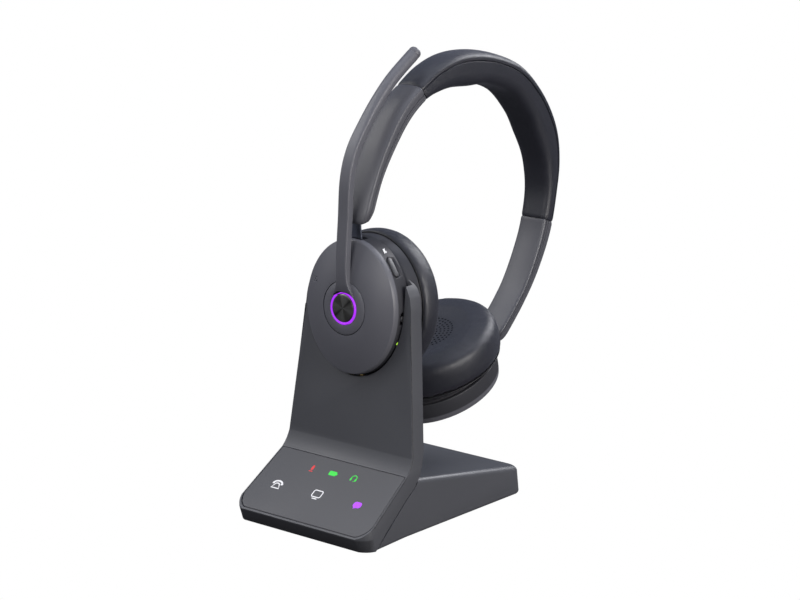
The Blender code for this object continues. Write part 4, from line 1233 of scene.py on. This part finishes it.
def room():
    """World that is white behind the object and a dim, slightly blue sky all round it."""
    world = bpy.data.worlds.new("soft_room")
    world.use_nodes = True
    tree = world.node_tree
    sky = tree.nodes["Background"]
    coords = tree.nodes.new("ShaderNodeTexCoord")
    parts = tree.nodes.new("ShaderNodeSeparateXYZ")
    ramp = tree.nodes.new("ShaderNodeValToRGB")
    tree.links.new(coords.outputs["Generated"], parts.inputs[0])
    tree.links.new(parts.outputs["Z"], ramp.inputs["Fac"])
    tree.links.new(ramp.outputs["Color"], sky.inputs["Color"])
    ramp.color_ramp.elements[0].color = (0.10, 0.11, 0.13, 1.0)
    ramp.color_ramp.elements[1].color = (0.30, 0.36, 0.52, 1.0)
    white = tree.nodes.new("ShaderNodeBackground")
    white.inputs["Color"].default_value = (1.0, 1.0, 1.0, 1.0)
    camera_only(tree, white, sky, "ShaderNodeOutputWorld")
    return world


def aimed(name, data, place, target):
    """Add a lamp or the camera at place, turned towards target."""
    obj = bpy.data.objects.new(name, data)
    bpy.context.scene.collection.objects.link(obj)
    obj.location = place
    obj.rotation_euler = (Vector(target) - Vector(place)).to_track_quat("-Z", "Y").to_euler()
    return obj


# Name, place, target, size in metres, watts and colour
WARM = (1.0, 0.98, 0.96)
LAMPS = (("right_light", (1.3, 0.0, 0.45), (0, 0, 0.12), 0.7, 18.5, (1.0, 0.97, 0.94)),
         ("top_light", (0.0, 0.0, 1.4), (0, 0, 0.12), 1.1, 5.5, (0.92, 0.94, 1.0)),
         ("front_light", (0.15, -1.2, 0.62), (0, 0, 0.12), 0.6, 6.5, WARM),
         ("upper_light", (-0.80, -0.42, 0.98), (0, 0, 0.10), 0.7, 6.0, WARM),
         ("left_light", (-1.0, -0.8, 0.5), (0, 0, 0.12), 0.7, 1.6, WARM),
         ("back_light", (0.2, 1.2, 1.0), (0, 0, 0.12), 0.8, 17.0, (0.97, 0.97, 1.0)))


class HEADSET_OT_stage(bpy.types.Operator):
    """Pale floor, soft lights and the camera"""
    bl_idname = "headset.stage"
    bl_label = "Stage"

    def execute(self, context):
        scene = context.scene
        floor = primitive("floor", MESH.primitive_plane_add, size=30.0, location=(0, 0, 0))
        floor.data.materials.append(backdrop_paint())
        scene.world = room()
        for name, place, target, size, power, colour in LAMPS:
            lamp = bpy.data.lights.new(name, "AREA")
            lamp.size, lamp.energy, lamp.color = size, power, colour
            aimed(name, lamp, place, target)
        lens = bpy.data.cameras.new("camera")
        lens.lens, lens.sensor_width = 108.0, 36.0
        scene.camera = aimed("camera", lens, (0.8108, -0.9422, 0.4124), (0.0340, -0.0255, 0.1258))
        scene.view_settings.view_transform = "Standard"
        return {"FINISHED"}


class HEADSET_PT_panel(bpy.types.Panel):
    """Lists the steps that build the headset"""
    bl_idname = "HEADSET_PT_panel"
    bl_label = "Headset"
    bl_space_type = "VIEW_3D"
    bl_region_type = "UI"
    bl_category = "Headset"

    def draw(self, context):
        layout = self.layout
        for group in (context.scene.headset_colours, context.scene.headset_sizes):
            for key in group.__annotations__:
                layout.prop(group, key)
        for operator, settings in STEPS:
            button = layout.operator(operator)
            for key, value in settings.items():
                setattr(button, key, value)


STEPS = [("headset.stage", {}), ("headset.stand", {}), ("headset.symbols", {}),
         *[(step, {"side": side}) for step in ("headset.cup", "headset.cushion") for side in CUPS],
         ("headset.boom", {}), ("headset.arms", {}), ("headset.padding", {})]
CLASSES = (HeadsetColours, HeadsetSizes, HEADSET_OT_stage, HEADSET_OT_stand, HEADSET_OT_symbols,
           HEADSET_OT_cup, HEADSET_OT_cushion, HEADSET_OT_boom, HEADSET_OT_arms, HEADSET_OT_padding,
           HEADSET_PT_panel)


def register():
    for cls in CLASSES:
        bpy.utils.register_class(cls)
    bpy.types.Scene.headset_colours = bpy.props.PointerProperty(type=HeadsetColours)
    bpy.types.Scene.headset_sizes = bpy.props.PointerProperty(type=HeadsetSizes)


def unregister():
    del bpy.types.Scene.headset_sizes
    del bpy.types.Scene.headset_colours
    for cls in reversed(CLASSES):
        bpy.utils.unregister_class(cls)


def main():
    register()
    for name, settings in STEPS:
        group, action = name.split(".")
        getattr(getattr(bpy.ops, group), action)(**settings)


if __name__ == "__main__":
    main()
